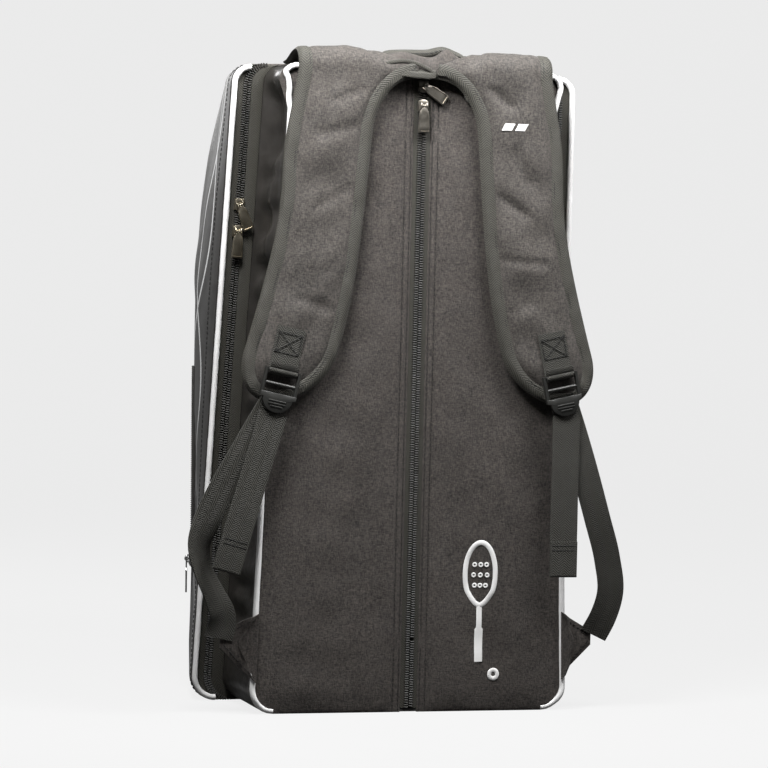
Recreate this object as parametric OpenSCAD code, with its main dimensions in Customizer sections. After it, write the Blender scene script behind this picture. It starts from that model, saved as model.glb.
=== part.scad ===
// Racket tournament bag: a tall hollow bag that stands on its end.
// The strap side faces -Y, +Z is up and the origin is the middle of the base.
// The right half (+X) is drawn and the left half is its mirror image.

/* [Body] */
// Height of the body, from the floor to the top panel
body_h = 552; // [460:1:660]
// Depth of the body at the floor
body_d = 290; // [240:1:350]
// Half width of the back panel at the floor
back_half_w = 142; // [120:1:172]
// How much each side of the back panel narrows up to the top
side_taper = 15; // [0:1:24]
// Half width of the front panel at the floor
front_half_w = 116; // [95:1:136]
// How much each side of the front panel narrows up to the top
front_taper = 14; // [0:1:24]
// How far the front leans back between the floor and the top
front_lean = 30; // [0:1:50]
// Radius of the lower corners of the back panel
foot_r = 22; // [12:1:26]
// Radius of the upper corners of the back panel
top_r = 16; // [8:1:22]

/* [Panels] */
// Thickness of the padded panels
panel_t = 3; // [2:0.5:5]
// Thickness of the gussets and side covers
skin_t = 2; // [1:0.5:3]
// Gap between pieces that are sewn edge to edge
seam_gap = 0.3; // [0.2:0.05:0.6]
// Depth of the side gusset at the floor
gusset_low = 96; // [60:1:110]
// Depth of the side gusset at the top
gusset_high = 51; // [36:1:80]
// Bulge of a side cover at its foot
bulge_low = 4; // [0:1:8]
// Extra bulge of a side cover above its middle
bulge_high = 17; // [0:1:24]
// Thickness of the compartment dividers
divider_t = 1.5; // [1:0.5:3]
// Half width of the main compartment at the back
main_half_w = 96; // [80:1:104]
// Half width of the main compartment at the front
main_front_half_w = 58; // [45:1:70]
// Radius of the white piping
piping_r = 2.5; // [1.5:0.1:3.5]

/* [Zips] */
// Width of one row of teeth
tooth_w = 3.2; // [2.5:0.1:4]
// Thickness of a row of teeth
tooth_t = 2.8; // [2:0.1:3.4]
// Slot between the two rows of teeth
tooth_slot = 1.2; // [1:0.1:2]
// Thickness of the zip tape
tape_t = 1; // [0.6:0.1:1.5]
// Width of the strip that carries the side zip
ring_w = 28; // [24:1:34]
// Width of the tape that shows beside the back zip
back_tape_w = 5.6; // [4:0.1:8]
// Half width of the opening panel beside the back zip
lip_half_w = 44; // [34:1:46]
// Height of the lower end of the opening panels
lip_z0 = 62; // [50:1:90]
// Distance from the top of the body down to the upper end of the opening panels
lip_drop = 57; // [52:1:120]
// Length of a slider
slider_l = 11; // [9:0.5:14]
// Width of a slider
slider_w = 9; // [8:0.5:11]
// Length of a puller below its pin
puller_l = 23; // [16:1:26]
// Width of a puller
puller_w = 10; // [8:0.5:12]

/* [Straps] */
// Height of a strap's rounded lower end
strap_z0 = 266; // [240:1:300]
// Half width of a strap
strap_half_w = 34; // [26:1:36]
// Extra half width near a strap's lower end
strap_flare = 6; // [0:1:8]
// Thickness of the strap pad
strap_t = 10; // [7:0.5:13]
// Width of the binding round a strap
binding_w = 6; // [4:0.5:9]
// Width of the webbing
web_w = 25; // [20:0.5:28]
// Thickness of the webbing
web_t = 1.6; // [1.2:0.1:2]
// Length of the free tail below the ladder lock
tail_l = 138; // [90:1:160]
// Sideways lean of the left tail
tail_lean_left = 14; // [0:1:18]
// Sideways lean of the right tail
tail_lean_right = 0; // [0:1:18]
// Sideways lean of the ladder locks
lock_lean = 12; // [0:1:16]

/* [Handle] */
// Half length of the grab handle between its feet
handle_half_l = 34; // [28:1:38]
// Rise of the grab handle above its feet
handle_rise = 11; // [8:1:24]
// Radius of the rolled grab handle
handle_r = 4; // [3:0.5:6]

/* [Hidden] */
$fn = 24;

// Colours
cloth = [0.15, 0.14, 0.13];
print = [0.24, 0.24, 0.25];
gloss = [0.1, 0.1, 0.1];
web = [0.2, 0.19, 0.15];
white = [0.94, 0.94, 0.93];
zip_black = [0.07, 0.07, 0.06];
gunmetal = [0.3, 0.28, 0.25];
silver = [0.7, 0.7, 0.7];
black = [0.05, 0.05, 0.05];

// Planes of the body
back_y = -body_d / 2;
gusset_y = back_y + panel_t + seam_gap;
lip_z1 = body_h - lip_drop;

// Layers in front of the back panel
strap_y = back_y - 2 * piping_r - 1 - strap_t;
pin_r = 0.7;
pin_hole_r = 1;
eye_r = 1.8;
slider_t = 2.3;
slider_plate_y = -tooth_t / 4 - seam_gap - slider_t;
pin_y = slider_plate_y - eye_r - seam_gap;
neck_w = tooth_slot / 2;

// Stretch of a side zip, measured as a share of its strip
chain_mid = ring_w / 2;
row_out = tooth_slot / 2 + tooth_w;

// Heights of the sliders at rest
back_slider_high_z = body_h - 16;
back_slider_low_z = back_slider_high_z - 17;
side_slider_high_z = body_h - 120;
side_slider_low_z = side_slider_high_z - 23;

// Sideways splay of the pullers of the upper sliders
back_splay = -58;
side_splay = 23;

// Pocket on the left cover: its place along the cover and its two ends
pocket_s = 0.3;
pocket_z = [112, 290];
pocket_rest_z = 119;
pocket_lift = 1.1;

// Straps
strap_top_z = body_h - 1 - strap_t / 2;
strap_top_x = 77;
lock_w = 32;
lock_bar_r = 1.6;
lock_rail = 3;
lock_t = 5;
lock_mid = 11;
lock_low = 21;
lock_tongue = 35;
lock_x = strap_top_x + 46;
lock_z = strap_z0 + 25;
lock_y = strap_y - web_t - seam_gap - lock_t;
tail_start = lock_tongue + 0.1;
tail_y = -0.2;

// Reach of the strap anchors and the yoke over the top panel
anchor_reach = 28;

// Wing tabs
tab_z = [27, 86];
tab_tip = [26, 62];

function mix(a, b, t) = a + (b - a) * t;
function unit(v) = v / norm(v);

// Shape of the body at height z
function half_w(z) = back_half_w - side_taper * z / body_h;
function ring_y(z) = back_y + mix(gusset_low, gusset_high, z / body_h);
function front_w(z) = front_half_w - front_taper * z / body_h;
function front_y(z) = body_d / 2 - front_lean * z / body_h;
function bulge(z) = bulge_low + bulge_high * max(0, sin(180 * pow(z / body_h, 1.8)));

// Point on the cover in plan: s runs from the side zip (0) to the front seam (1)
function cover_xy(s, z) =
    let (a = [half_w(z) + ring_w, ring_y(z) + tape_t + 3 * seam_gap], b = [front_w(z), front_y(z)],
         d = b - a, n = unit([d.y, -d.x]))
    mix(a, b, s) + n * bulge(z) * pow(max(0, sin(180 * s)), 0.8);

// Heights round a corner-to-corner side edge, as [z, inward shift]
function stations(rb, rt, inset = 0, mids = 2) = concat(
    [for (a = [-90 : 22.5 : 0]) [rb + (rb - inset) * sin(a), rb - (rb - inset) * cos(a)]],
    [for (k = [1 : 1 : mids - 1]) [mix(rb, body_h - rt, k / mids), inset]],
    [for (a = [0 : 22.5 : 90])
        [body_h - rt + (rt - inset) * sin(a), rt - (rt - inset) * cos(a)]]);

// Thick sheet from a grid of points, thickened along its normals by t
function grid_normal(g, i, j) =
    let (ni = len(g) - 1, nj = len(g[0]) - 1)
    unit(cross(g[min(i + 1, ni)][j] - g[max(i - 1, 0)][j],
               g[i][min(j + 1, nj)] - g[i][max(j - 1, 0)]));
function split_quads(quads) = [for (q = quads, k = [1, 2]) [q[0], q[k], q[k + 1]]];
function turned(faces, flip) = flip ? [for (f = faces) [f[2], f[1], f[0]]] : faces;

module sheet(g, t) {
    ni = len(g);
    nj = len(g[0]);
    half = ni * nj;
    function at(i, j) = i * nj + j;
    points = concat([for (row = g, p = row) p],
        [for (i = [0 : ni - 1], j = [0 : nj - 1]) g[i][j] + t * grid_normal(g, i, j)]);
    quads = concat(
        [for (i = [0 : ni - 2], j = [0 : nj - 2])
            [at(i, j), at(i + 1, j), at(i + 1, j + 1), at(i, j + 1)]],
        [for (i = [0 : ni - 2], j = [0 : nj - 2])
            [half + at(i, j), half + at(i, j + 1), half + at(i + 1, j + 1), half + at(i + 1, j)]],
        [for (i = [0 : ni - 2]) [at(i, 0), half + at(i, 0), half + at(i + 1, 0), at(i + 1, 0)]],
        [for (i = [0 : ni - 2]) let (j = nj - 1)
            [at(i, j), at(i + 1, j), half + at(i + 1, j), half + at(i, j)]],
        [for (j = [0 : nj - 2]) [at(0, j), at(0, j + 1), half + at(0, j + 1), half + at(0, j)]],
        [for (j = [0 : nj - 2]) let (i = ni - 1)
            [at(i, j), half + at(i, j), half + at(i, j + 1), at(i, j + 1)]]);
    polyhedron(points, turned(split_quads(quads), t < 0));
}

// Sweep of a flat profile along a path; across is the direction of its second axis
module sweep(path, profile, across) {
    n = len(path);
    m = len(profile);
    points = [for (i = [0 : n - 1])
        let (t = unit(path[min(i + 1, n - 1)] - path[max(i - 1, 0)]),
             u = unit(cross(across, t)), v = cross(t, u))
        for (q = profile) path[i] + q.x * u + q.y * v];
    quads = [for (i = [0 : n - 2], k = [0 : m - 1]) let (l = (k + 1) % m)
        [i * m + k, (i + 1) * m + k, (i + 1) * m + l, i * m + l]];
    caps = [for (k = [1 : m - 2]) each [[0, k, k + 1],
        [(n - 1) * m, (n - 1) * m + k + 1, (n - 1) * m + k]]];
    polyhedron(points, concat(split_quads(quads), caps));
}

function round_profile(r, sides = 8) =
    [for (k = [0 : sides - 1]) r * [cos(360 * k / sides), sin(360 * k / sides)]];
function strip_profile(w, t) = [[-w / 2, -t / 2], [w / 2, -t / 2], [w / 2, t / 2], [-w / 2, t / 2]];

// Flat plate standing in the XZ plane, from y0 to y0 + t
module upright(y0, t) {
    translate([0, y0 + t, 0])
        rotate([90, 0, 0])
            linear_extrude(t) children();
}

module both(side) {
    mirror([side == "left" ? 1 : 0, 0, 0]) children();
}

// Frame of the side zip: z runs along the chain, -y faces out
module on_ring(z) {
    d = unit([-side_taper, gusset_high - gusset_low, body_h]);
    n = unit(cross(d, [1, 0, 0]));
    e = cross(n, d);
    p = [half_w(z) + chain_mid, ring_y(z), z];
    multmatrix([[e.x, n.x, d.x, p.x], [e.y, n.y, d.y, p.y], [e.z, n.z, d.z, p.z], [0, 0, 0, 1]])
        children();
}

// Frame of a ladder lock: x along its bars, -z down the strap
module on_lock(side, lean = lock_lean) {
    both(side)
        translate([lock_x, lock_y + lock_t / 2, lock_z])
            rotate([0, -lean, 0]) children();
}

// Back panel, with its cut-out for the opening panel beside the zip
module back_panel(side) {
    edge = stations(foot_r, top_r);
    zip_x = row_out + back_tape_w + 2 * seam_gap;
    hinge_x = lip_half_w + seam_gap;
    color(cloth) both(side) upright(back_y, panel_t)
        polygon(concat([for (e = edge) [half_w(e[0]) - e[1], e[0]]],
            [[zip_x, body_h], [zip_x, lip_z1 + seam_gap], [hinge_x, lip_z1 + seam_gap],
             [hinge_x, lip_z0 - seam_gap], [zip_x, lip_z0 - seam_gap], [zip_x, 0]]));
}

module back_piping(side) {
    inset = piping_r + 0.1;
    color(white) both(side)
        sweep([for (e = stations(foot_r, top_r, inset, 2))
                [half_w(e[0]) - e[1], back_y - piping_r - seam_gap, e[0]]],
            round_profile(piping_r), [0, 1, 0]);
}

// One half of the back zip between two heights: a row of teeth and its tape
module back_zip_half(z0, z1) {
    translate([tooth_slot / 2, back_y - tooth_t / 4, z0]) cube([tooth_w, tooth_t, z1 - z0]);
    translate([row_out + seam_gap, back_y + tape_t, z0]) cube([back_tape_w, tape_t, z1 - z0]);
}

module back_zip_ends() {
    stop_t = 1.5;
    color(zip_black) for (side = ["left", "right"]) both(side) {
        back_zip_half(stop_t + 2, lip_z0 - seam_gap);
        back_zip_half(lip_z1 + seam_gap, body_h - stop_t);
    }
}

module back_zip(side) {
    color(zip_black) both(side) back_zip_half(lip_z0, lip_z1);
}

module back_lip(side) {
    x0 = row_out + back_tape_w + 2 * seam_gap;
    color(cloth) both(side)
        translate([x0, back_y, lip_z0]) cube([lip_half_w - x0, panel_t, lip_z1 - lip_z0]);
}

module gusset(side) {
    edge = stations(foot_r, top_r, 0, 3);
    color(gloss) both(side)
        sheet([for (k = [0, 0.5, 1]) [for (e = edge)
            [half_w(e[0]) - e[1], mix(gusset_y, ring_y(e[0]) - tooth_t / 4 - seam_gap, k), e[0]]]], -skin_t);
}

// Strip of the side zip between two distances from the gusset
module ring_strip(k0, k1, front, t) {
    edge = stations(foot_r, top_r, seam_gap, 3);
    sheet([for (k = [k0, k1]) [for (e = edge)
        [half_w(e[0]) + k + seam_gap - e[1], ring_y(e[0]) + front, e[0]]]], -t);
}

module side_zip_inner(side) {
    color(zip_black) both(side) {
        ring_strip(2 * seam_gap, chain_mid - row_out - seam_gap, 0, tape_t);
        ring_strip(chain_mid - row_out, chain_mid - tooth_slot / 2, -tooth_t / 4, tooth_t);
    }
}

module side_zip_outer(side) {
    color(zip_black) both(side) {
        ring_strip(chain_mid + row_out + seam_gap, ring_w - seam_gap, 0, tape_t);
        ring_strip(chain_mid + tooth_slot / 2, chain_mid + row_out, -tooth_t / 4, tooth_t);
    }
}

module side_cover(side) {
    steps = 9;
    end_s = 0.97;
    hinge_r = 1.5;
    color(print) both(side)
        sheet([for (i = [0 : steps]) let (s = end_s * i / steps)
            [for (e = stations(mix(foot_r, hinge_r, s), mix(top_r, hinge_r, s), 0, 9))
                let (p = cover_xy(s, e[0])) [p.x - e[1], p.y, e[0]]]], -skin_t);
}

module side_piping(side) {
    inset = piping_r + 0.1;
    color(white) both(side)
        sweep([for (e = stations(foot_r, top_r, inset, 2))
                [half_w(e[0]) + ring_w - e[1], ring_y(e[0]) - piping_r - 2 * seam_gap, e[0]]],
            round_profile(piping_r), [0, 1, 0]);
}

// Plan outline of the body at the floor or at the top, clear of the gussets and covers
module plan_outline(z, r) {
    slack = skin_t + seam_gap;
    steps = 8;
    ring_in = ring_y(z) + tape_t + skin_t;
    half = concat(
        [[half_w(z) - r - slack, gusset_y], [half_w(z) - r - slack, ring_in]],
        [for (i = [0 : steps]) let (s = 0.04 + 0.9 * i / steps, p = cover_xy(s, z))
            [p.x - mix(r, 1.5, s) - slack, p.y]],
        [[front_w(z) - 1.5 - slack, front_y(z) - panel_t - seam_gap]]);
    polygon(concat(half, [for (i = [len(half) - 1 : -1 : 0]) [-half[i].x, half[i].y]]));
}

module bottom_panel() {
    color(cloth) linear_extrude(panel_t) plan_outline(0, foot_r);
}

module top_panel() {
    color(cloth) translate([0, 0, body_h - panel_t]) linear_extrude(panel_t)
        plan_outline(body_h, top_r);
}

module front_panel() {
    n = 4;
    color(cloth)
        sheet([for (i = [0 : 2 * n]) let (u = (i - n) / n) [for (z = [seam_gap, body_h / 2, body_h])
            [-u * (front_w(z) - seam_gap), front_y(z), z]]], -panel_t);
}

module divider(side) {
    z0 = panel_t + seam_gap;
    y0 = gusset_y;
    y1 = front_y(body_h) - panel_t - 1;
    color(zip_black) both(side)
        translate([0, 0, z0]) linear_extrude(body_h - 2 * z0)
            polygon([[main_half_w, y0], [main_half_w + divider_t, y0],
                [main_front_half_w + divider_t, y1], [main_front_half_w, y1]]);
}

// Shape of a strap: u runs from its top seam (0) to its rounded end (1)
function strap_x(u) = strap_top_x + 24 * u + 27 * pow(u, 3);
function strap_w(u) =
    (strap_half_w + strap_flare * pow(sin(90 * min(1, u / 0.85)), 4))
    * (u < 0.85 ? 1 : sqrt(max(0, 1 - pow((u - 0.85) / 0.15, 2))));

module strap_outline(inset = 0) {
    len_all = strap_top_z - strap_z0;
    us = concat([for (u = [0 : 0.05 : 0.84]) u], [for (a = [0 : 12 : 90]) 0.85 + 0.15 * sin(a)]);
    function edge(u, sgn) = let (k = (len_all - inset) / len_all)
        [strap_x(u * k) + sgn * max(0.6, strap_w(u) - inset), strap_top_z - u * (len_all - inset)];
    polygon(concat([for (u = us) edge(u, 1)],
        [for (i = [len(us) - 1 : -1 : 0]) edge(us[i], -1)]));
}

module strap_pad(side) {
    color(cloth) both(side) {
        upright(strap_y, strap_t) strap_outline(binding_w + seam_gap);
        translate([strap_x(0), strap_y + strap_t / 2, strap_top_z]) rotate([0, 90, 0])
            cylinder(r = strap_t / 2, h = 2 * (strap_half_w - binding_w - 3 * seam_gap), center = true);
    }
}

module strap_binding(side) {
    color(web) both(side) upright(strap_y + 0.5, strap_t - 1)
        difference() {
            strap_outline();
            strap_outline(binding_w);
            translate([0, strap_top_z]) square([4 * strap_half_w + strap_top_x, 2 * strap_t]);
            translate([strap_top_x - strap_half_w + binding_w, strap_top_z - 1])
                square([2 * (strap_half_w - binding_w), 2]);
        }
}

module strap_anchor(side) {
    w = strap_half_w - 1;
    z0 = strap_top_z + strap_t / 2 + seam_gap;
    z1 = body_h + 3.5;
    color(cloth) both(side) {
        translate([strap_x(0) - w, strap_y, z0]) cube([2 * w, back_y - strap_y - seam_gap, z1 - z0]);
        translate([strap_x(0) - w, back_y - seam_gap, body_h + seam_gap])
            cube([2 * w, anchor_reach, z1 - body_h - seam_gap]);
    }
}

// Yoke between the strap tops: a plate that stands clear of the sliders, and its flap on the top
module yoke() {
    w = strap_top_x - strap_half_w - seam_gap;
    arch_w = 36;
    arch_z = body_h - 26;
    arch_h = 20;
    z0 = body_h + seam_gap;
    z1 = body_h + 3.5;
    plate_t = 5;
    color(cloth) {
        upright(strap_y, plate_t)
            polygon(concat([[w, arch_z], [w, z1], [-w, z1], [-w, arch_z]],
                [for (a = [180 : -20 : 0]) [arch_w * cos(a), arch_z + arch_h * sin(a)]]));
        translate([-w, strap_y, z0]) cube([2 * w, back_y + anchor_reach - strap_y, z1 - z0]);
    }
}

// Height of the axis that the grab handle's feet lie on
handle_z = body_h + 3.5 + seam_gap + handle_r;
handle_y = back_y + 4;

module grab_handle() {
    foot = 5;
    steps = 12;
    function at(x, z) = [x, handle_y, handle_z + z];
    color(web)
        sweep(concat([at(handle_half_l + foot, 0)],
                [for (i = [0 : steps]) let (a = 180 * i / steps)
                    at(handle_half_l * cos(a), handle_rise * pow(sin(a), 0.7))],
                [at(-handle_half_l - foot, 0)]),
            round_profile(handle_r), [0, 1, 0]);
}

// Zip slider; under is the [left, right] reach of its plate behind the teeth,
// splay the sideways turn of the pin that carries the puller
module slider(under, splay = 0, c = gunmetal) {
    y_in = tooth_t * 0.75 + seam_gap;
    under_t = 1.3;
    neck_l = 4;
    ear_w = 1.1;
    ear_x = 2.6;
    ear_d = 2.8;
    color(c) {
        translate([-slider_w / 2, slider_plate_y, -slider_l / 2]) cube([slider_w, slider_t, slider_l]);
        if (under[0] + under[1] > 0) {
            translate([-neck_w / 2, slider_plate_y + slider_t, -neck_l / 2])
                cube([neck_w, y_in - slider_plate_y - slider_t, neck_l]);
            translate([-under[0], y_in, -slider_l / 2]) cube([under[0] + under[1], under_t, slider_l]);
        }
        rotate([0, splay, 0]) {
            for (s = [-1, 1])
                translate([s * ear_x - ear_w / 2, pin_y - 1, -ear_d / 2])
                    cube([ear_w, slider_plate_y - pin_y + 1, ear_d]);
            translate([-ear_x, pin_y, 0]) rotate([0, 90, 0]) cylinder(r = pin_r, h = 2 * ear_x);
        }
    }
}

// Puller hanging from the pin of a slider
module puller(splay = 0, c = gunmetal, rounded = false) {
    t = 1.5;
    eye_w = 3.4;
    neck_l = 6;
    disc_z = -12;
    disc_hole_r = 2.6;
    tip_w = rounded ? puller_w - 4 : puller_w;
    color(c) rotate([0, splay, 0]) translate([0, pin_y, 0]) difference() {
        union() {
            rotate([0, 90, 0]) cylinder(r = eye_r, h = eye_w, center = true);
            translate([-eye_w / 2, -t / 2, -neck_l]) cube([eye_w, t, neck_l]);
            if (rounded)
                translate([0, t / 2, disc_z]) rotate([90, 0, 0]) cylinder(r = puller_w / 2, h = t);
            translate([-tip_w / 2, -t / 2, -puller_l]) cube([tip_w, t, puller_l - neck_l + 1]);
        }
        rotate([0, 90, 0]) cylinder(r = pin_hole_r, h = 2 * eye_w, center = true);
        if (rounded)
            translate([0, t, disc_z]) rotate([90, 0, 0]) cylinder(r = disc_hole_r, h = 2 * t);
    }
}

module on_back(z) {
    translate([0, back_y, z]) children();
}

// Frame of the pocket zip on the left cover, its z axis along the chain
function pocket_end(z) = let (p = cover_xy(pocket_s, z)) [p.x, p.y, z];
module on_pocket(z) {
    a = pocket_end(pocket_z[0]);
    b = pocket_end(pocket_z[1]);
    d = unit(b - a);
    f = cover_xy(pocket_s + 0.05, z) - cover_xy(pocket_s - 0.05, z);
    e0 = unit([f.x, f.y, 0]);
    n = unit(cross(d, e0));
    e = cross(n, d);
    p = pocket_end(z);
    multmatrix([[e.x, n.x, d.x, p.x], [e.y, n.y, d.y, p.y], [e.z, n.z, d.z, p.z], [0, 0, 0, 1]])
        children();
}

module pocket_zip() {
    half_s = 0.022;
    zs = [for (k = [0 : 8]) mix(pocket_z[0], pocket_z[1], k / 8)];
    color(zip_black) both("left")
        sheet([for (s = [pocket_s - half_s, pocket_s + half_s]) [for (z = zs)
            let (p = cover_xy(s, z), f = unit([cover_xy(s + 0.02, z) - cover_xy(s - 0.02, z)][0]))
            [p.x + f.y * seam_gap, p.y - f.x * seam_gap, z]]], 1.2);
}

// Flat ladder lock: two rails, three bars and a thumb tongue
module ladder_lock(side) {
    color(black) on_lock(side) {
        for (s = [-1, 1]) {
            translate([s * (lock_w - lock_rail) / 2 - lock_rail / 2, -lock_t / 2 + 0.5, -lock_low])
                cube([lock_rail, lock_t - 1, lock_low]);
            translate([s * (lock_w - lock_rail) / 2 - lock_rail / 2, 0, 0]) rotate([0, 90, 0])
                cylinder(r = lock_t / 2 - 0.5, h = lock_rail);
        }
        for (z = [0, -lock_mid])
            translate([-lock_w / 2 + 1, 0, z]) rotate([0, 90, 0]) cylinder(r = lock_bar_r, h = lock_w - 2);
        translate([-lock_w / 2, -lock_t / 2, -lock_low - 3]) cube([lock_w, 2, 5]);
        difference() {
            translate([0, -lock_t / 2 + 2, -lock_low - 1]) rotate([90, 0, 0])
                cylinder(r = lock_tongue - lock_low - 1, h = 2);
            translate([-lock_w, -lock_t, -lock_low - 1]) cube([2 * lock_w, 2 * lock_t, lock_w]);
        }
    }
}

// Webbing patch on the strap with the loop that carries the ladder lock
module strap_patch(side) {
    loop_in = lock_bar_r + seam_gap;
    loop_out = loop_in + web_t;
    patch_h = 34;
    w = web_w;
    color(web) on_lock(side) {
        difference() {
            union() {
                rotate([0, 90, 0]) cylinder(r = loop_out, h = w, center = true);
                translate([-w / 2, 0, 0]) cube([w, loop_out, 5]);
            }
            rotate([0, 90, 0]) cylinder(r = loop_in, h = 2 * w, center = true);
        }
        translate([-w / 2, lock_t / 2, 4]) cube([w, web_t, patch_h]);
    }
}

// Free end of the webbing below the ladder lock, folded double at its tip
module webbing_tail(side) {
    lean = side == "left" ? tail_lean_left : tail_lean_right;
    fold_l = 30;
    color(web) on_lock(side) translate([0, tail_y, -tail_start]) rotate([0, lock_lean - lean, 0]) {
        translate([-web_w / 2, web_t / 2, -web_t / 2]) rotate([0, 90, 0]) cylinder(r = web_t / 2, h = web_w);
        translate([-web_w / 2, 0, -tail_l]) cube([web_w, web_t, tail_l - web_t / 2]);
        translate([-web_w / 2, -web_t, -tail_l]) cube([web_w, web_t, fold_l]);
    }
}

// Route of the adjusting webbing from the lock to the wing tab, as x, distance behind the strap, z.
// Each step is its share of the drop, its swing out to the side and its place behind the strap.
web_front = -web_t / 2 - seam_gap;
tab_front = gusset_y + 0.7 - seam_gap - web_t / 2 - strap_y;
route_steps = [[0, 0, web_front], [0.24, 7, web_front], [0.49, 18, 2], [0.68, 28, 7],
               [0.82, 26, 11], [0.93, 14, 15], [1, 0, tab_front]];
route_start = [lock_x + 7, lock_z - 25];
route_end = [half_w(tab_tip[1]) + tab_tip[0], tab_tip[1] + 2];
adjuster_route = [for (p = route_steps)
    [mix(route_start.x, route_end.x, p[0]) + p[1], p[2], mix(route_start.y, route_end.y, p[0])]];

module adjuster_webbing(side) {
    color(web) both(side)
        sweep([for (p = adjuster_route) p + [0, strap_y, 0]], strip_profile(web_w, web_t), [0, 1, 0]);
}

module wing_tab(side) {
    t = 2.4;
    x0 = half_w(tab_z[0]) + seam_gap;
    x1 = half_w(tab_z[1]) + seam_gap;
    tip_x = half_w(tab_tip[1]) + tab_tip[0];
    color(cloth) both(side) upright(gusset_y + 0.7, t)
        polygon([[x0, tab_z[0]], [tip_x, tab_tip[1] - 6], [tip_x, tab_tip[1] + 6], [x1, tab_z[1]]]);
}

back_panel("left");  // back_panel_left
back_panel("right");  // back_panel_right
back_piping("left");  // back_piping_left
back_piping("right");  // back_piping_right
back_zip_ends();
gusset("left");  // gusset_left
gusset("right");  // gusset_right
side_zip_inner("left");  // side_zip_inner_left
side_zip_inner("right");  // side_zip_inner_right
front_panel();
top_panel();
bottom_panel();
divider("left");  // divider_left
divider("right");  // divider_right
strap_anchor("left");  // strap_anchor_left
strap_anchor("right");  // strap_anchor_right
yoke();
wing_tab("left");  // wing_tab_left
wing_tab("right");  // wing_tab_right
grab_handle();
back_lip("left");  // back_lip_left
back_lip("right");  // back_lip_right
back_zip("left");  // back_zip_left
back_zip("right");  // back_zip_right
side_cover("left");  // side_cover_left
side_cover("right");  // side_cover_right
side_piping("left");  // side_piping_left
side_piping("right");  // side_piping_right
side_zip_outer("left");  // side_zip_outer_left
side_zip_outer("right");  // side_zip_outer_right
on_back(back_slider_high_z) slider([4, 4], back_splay);  // back_slider_upper
on_back(back_slider_low_z) slider([4, 4]);  // back_slider_lower
on_back(back_slider_high_z) puller(back_splay);  // back_puller_upper
on_back(back_slider_low_z) puller();  // back_puller_lower
both("left") on_ring(side_slider_high_z) slider([4, 0.3], side_splay);  // side_slider_upper_left
both("right") on_ring(side_slider_high_z) slider([4, 0.3], side_splay);  // side_slider_upper_right
both("left") on_ring(side_slider_low_z) slider([4, 0.3]);  // side_slider_lower_left
both("right") on_ring(side_slider_low_z) slider([4, 0.3]);  // side_slider_lower_right
both("left") on_ring(side_slider_high_z) puller(side_splay);  // side_puller_upper_left
both("right") on_ring(side_slider_high_z) puller(side_splay);  // side_puller_upper_right
both("left") on_ring(side_slider_low_z) puller();  // side_puller_lower_left
both("right") on_ring(side_slider_low_z) puller();  // side_puller_lower_right
pocket_zip();
both("left") on_pocket(pocket_rest_z) translate([0, -pocket_lift, 0]) slider([0, 0], 0, silver);  // pocket_slider
both("left") on_pocket(pocket_rest_z) translate([0, -pocket_lift, 0]) puller(0, silver, true);  // pocket_puller
strap_pad("left");  // strap_pad_left
strap_pad("right");  // strap_pad_right
strap_binding("left");  // strap_binding_left
strap_binding("right");  // strap_binding_right
strap_patch("left");  // strap_patch_left
strap_patch("right");  // strap_patch_right
ladder_lock("left");  // ladder_lock_left
ladder_lock("right");  // ladder_lock_right
webbing_tail("left");  // webbing_tail_left
webbing_tail("right");  // webbing_tail_right
adjuster_webbing("left");  // adjuster_webbing_left
adjuster_webbing("right");  // adjuster_webbing_right
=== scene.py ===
"""Looks of a racket tournament bag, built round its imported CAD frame.

Lengths in the classes are millimetres, as on a maker's drawing, and become metres when a mesh
is stored. The right half (+X) is worked out and the left half is its mirror image.
"""

import logging
import math
from dataclasses import dataclass, field
from enum import Enum

import bpy
import numpy as np
from mathutils import Matrix, Vector


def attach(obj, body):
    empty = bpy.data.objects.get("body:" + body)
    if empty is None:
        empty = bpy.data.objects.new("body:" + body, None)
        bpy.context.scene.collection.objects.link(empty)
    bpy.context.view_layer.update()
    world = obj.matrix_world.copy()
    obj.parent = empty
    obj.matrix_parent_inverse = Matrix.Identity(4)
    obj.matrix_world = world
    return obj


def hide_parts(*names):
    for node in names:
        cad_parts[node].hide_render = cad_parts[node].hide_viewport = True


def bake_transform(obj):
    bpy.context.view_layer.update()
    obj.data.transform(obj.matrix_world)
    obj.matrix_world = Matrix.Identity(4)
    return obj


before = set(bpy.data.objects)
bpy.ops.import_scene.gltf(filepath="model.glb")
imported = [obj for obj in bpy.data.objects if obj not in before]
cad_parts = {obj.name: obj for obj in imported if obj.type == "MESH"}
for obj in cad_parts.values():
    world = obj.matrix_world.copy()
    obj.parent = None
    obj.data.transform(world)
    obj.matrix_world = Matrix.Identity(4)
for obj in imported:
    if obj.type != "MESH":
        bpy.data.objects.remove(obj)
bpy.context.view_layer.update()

Array = np.ndarray
MM = 0.001
TAU = 2 * math.pi
X_AXIS, Y_AXIS, Z_AXIS = np.eye(3)
log = logging.getLogger("bag")


# ---------------------------------------------------------------- camera and light


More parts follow.
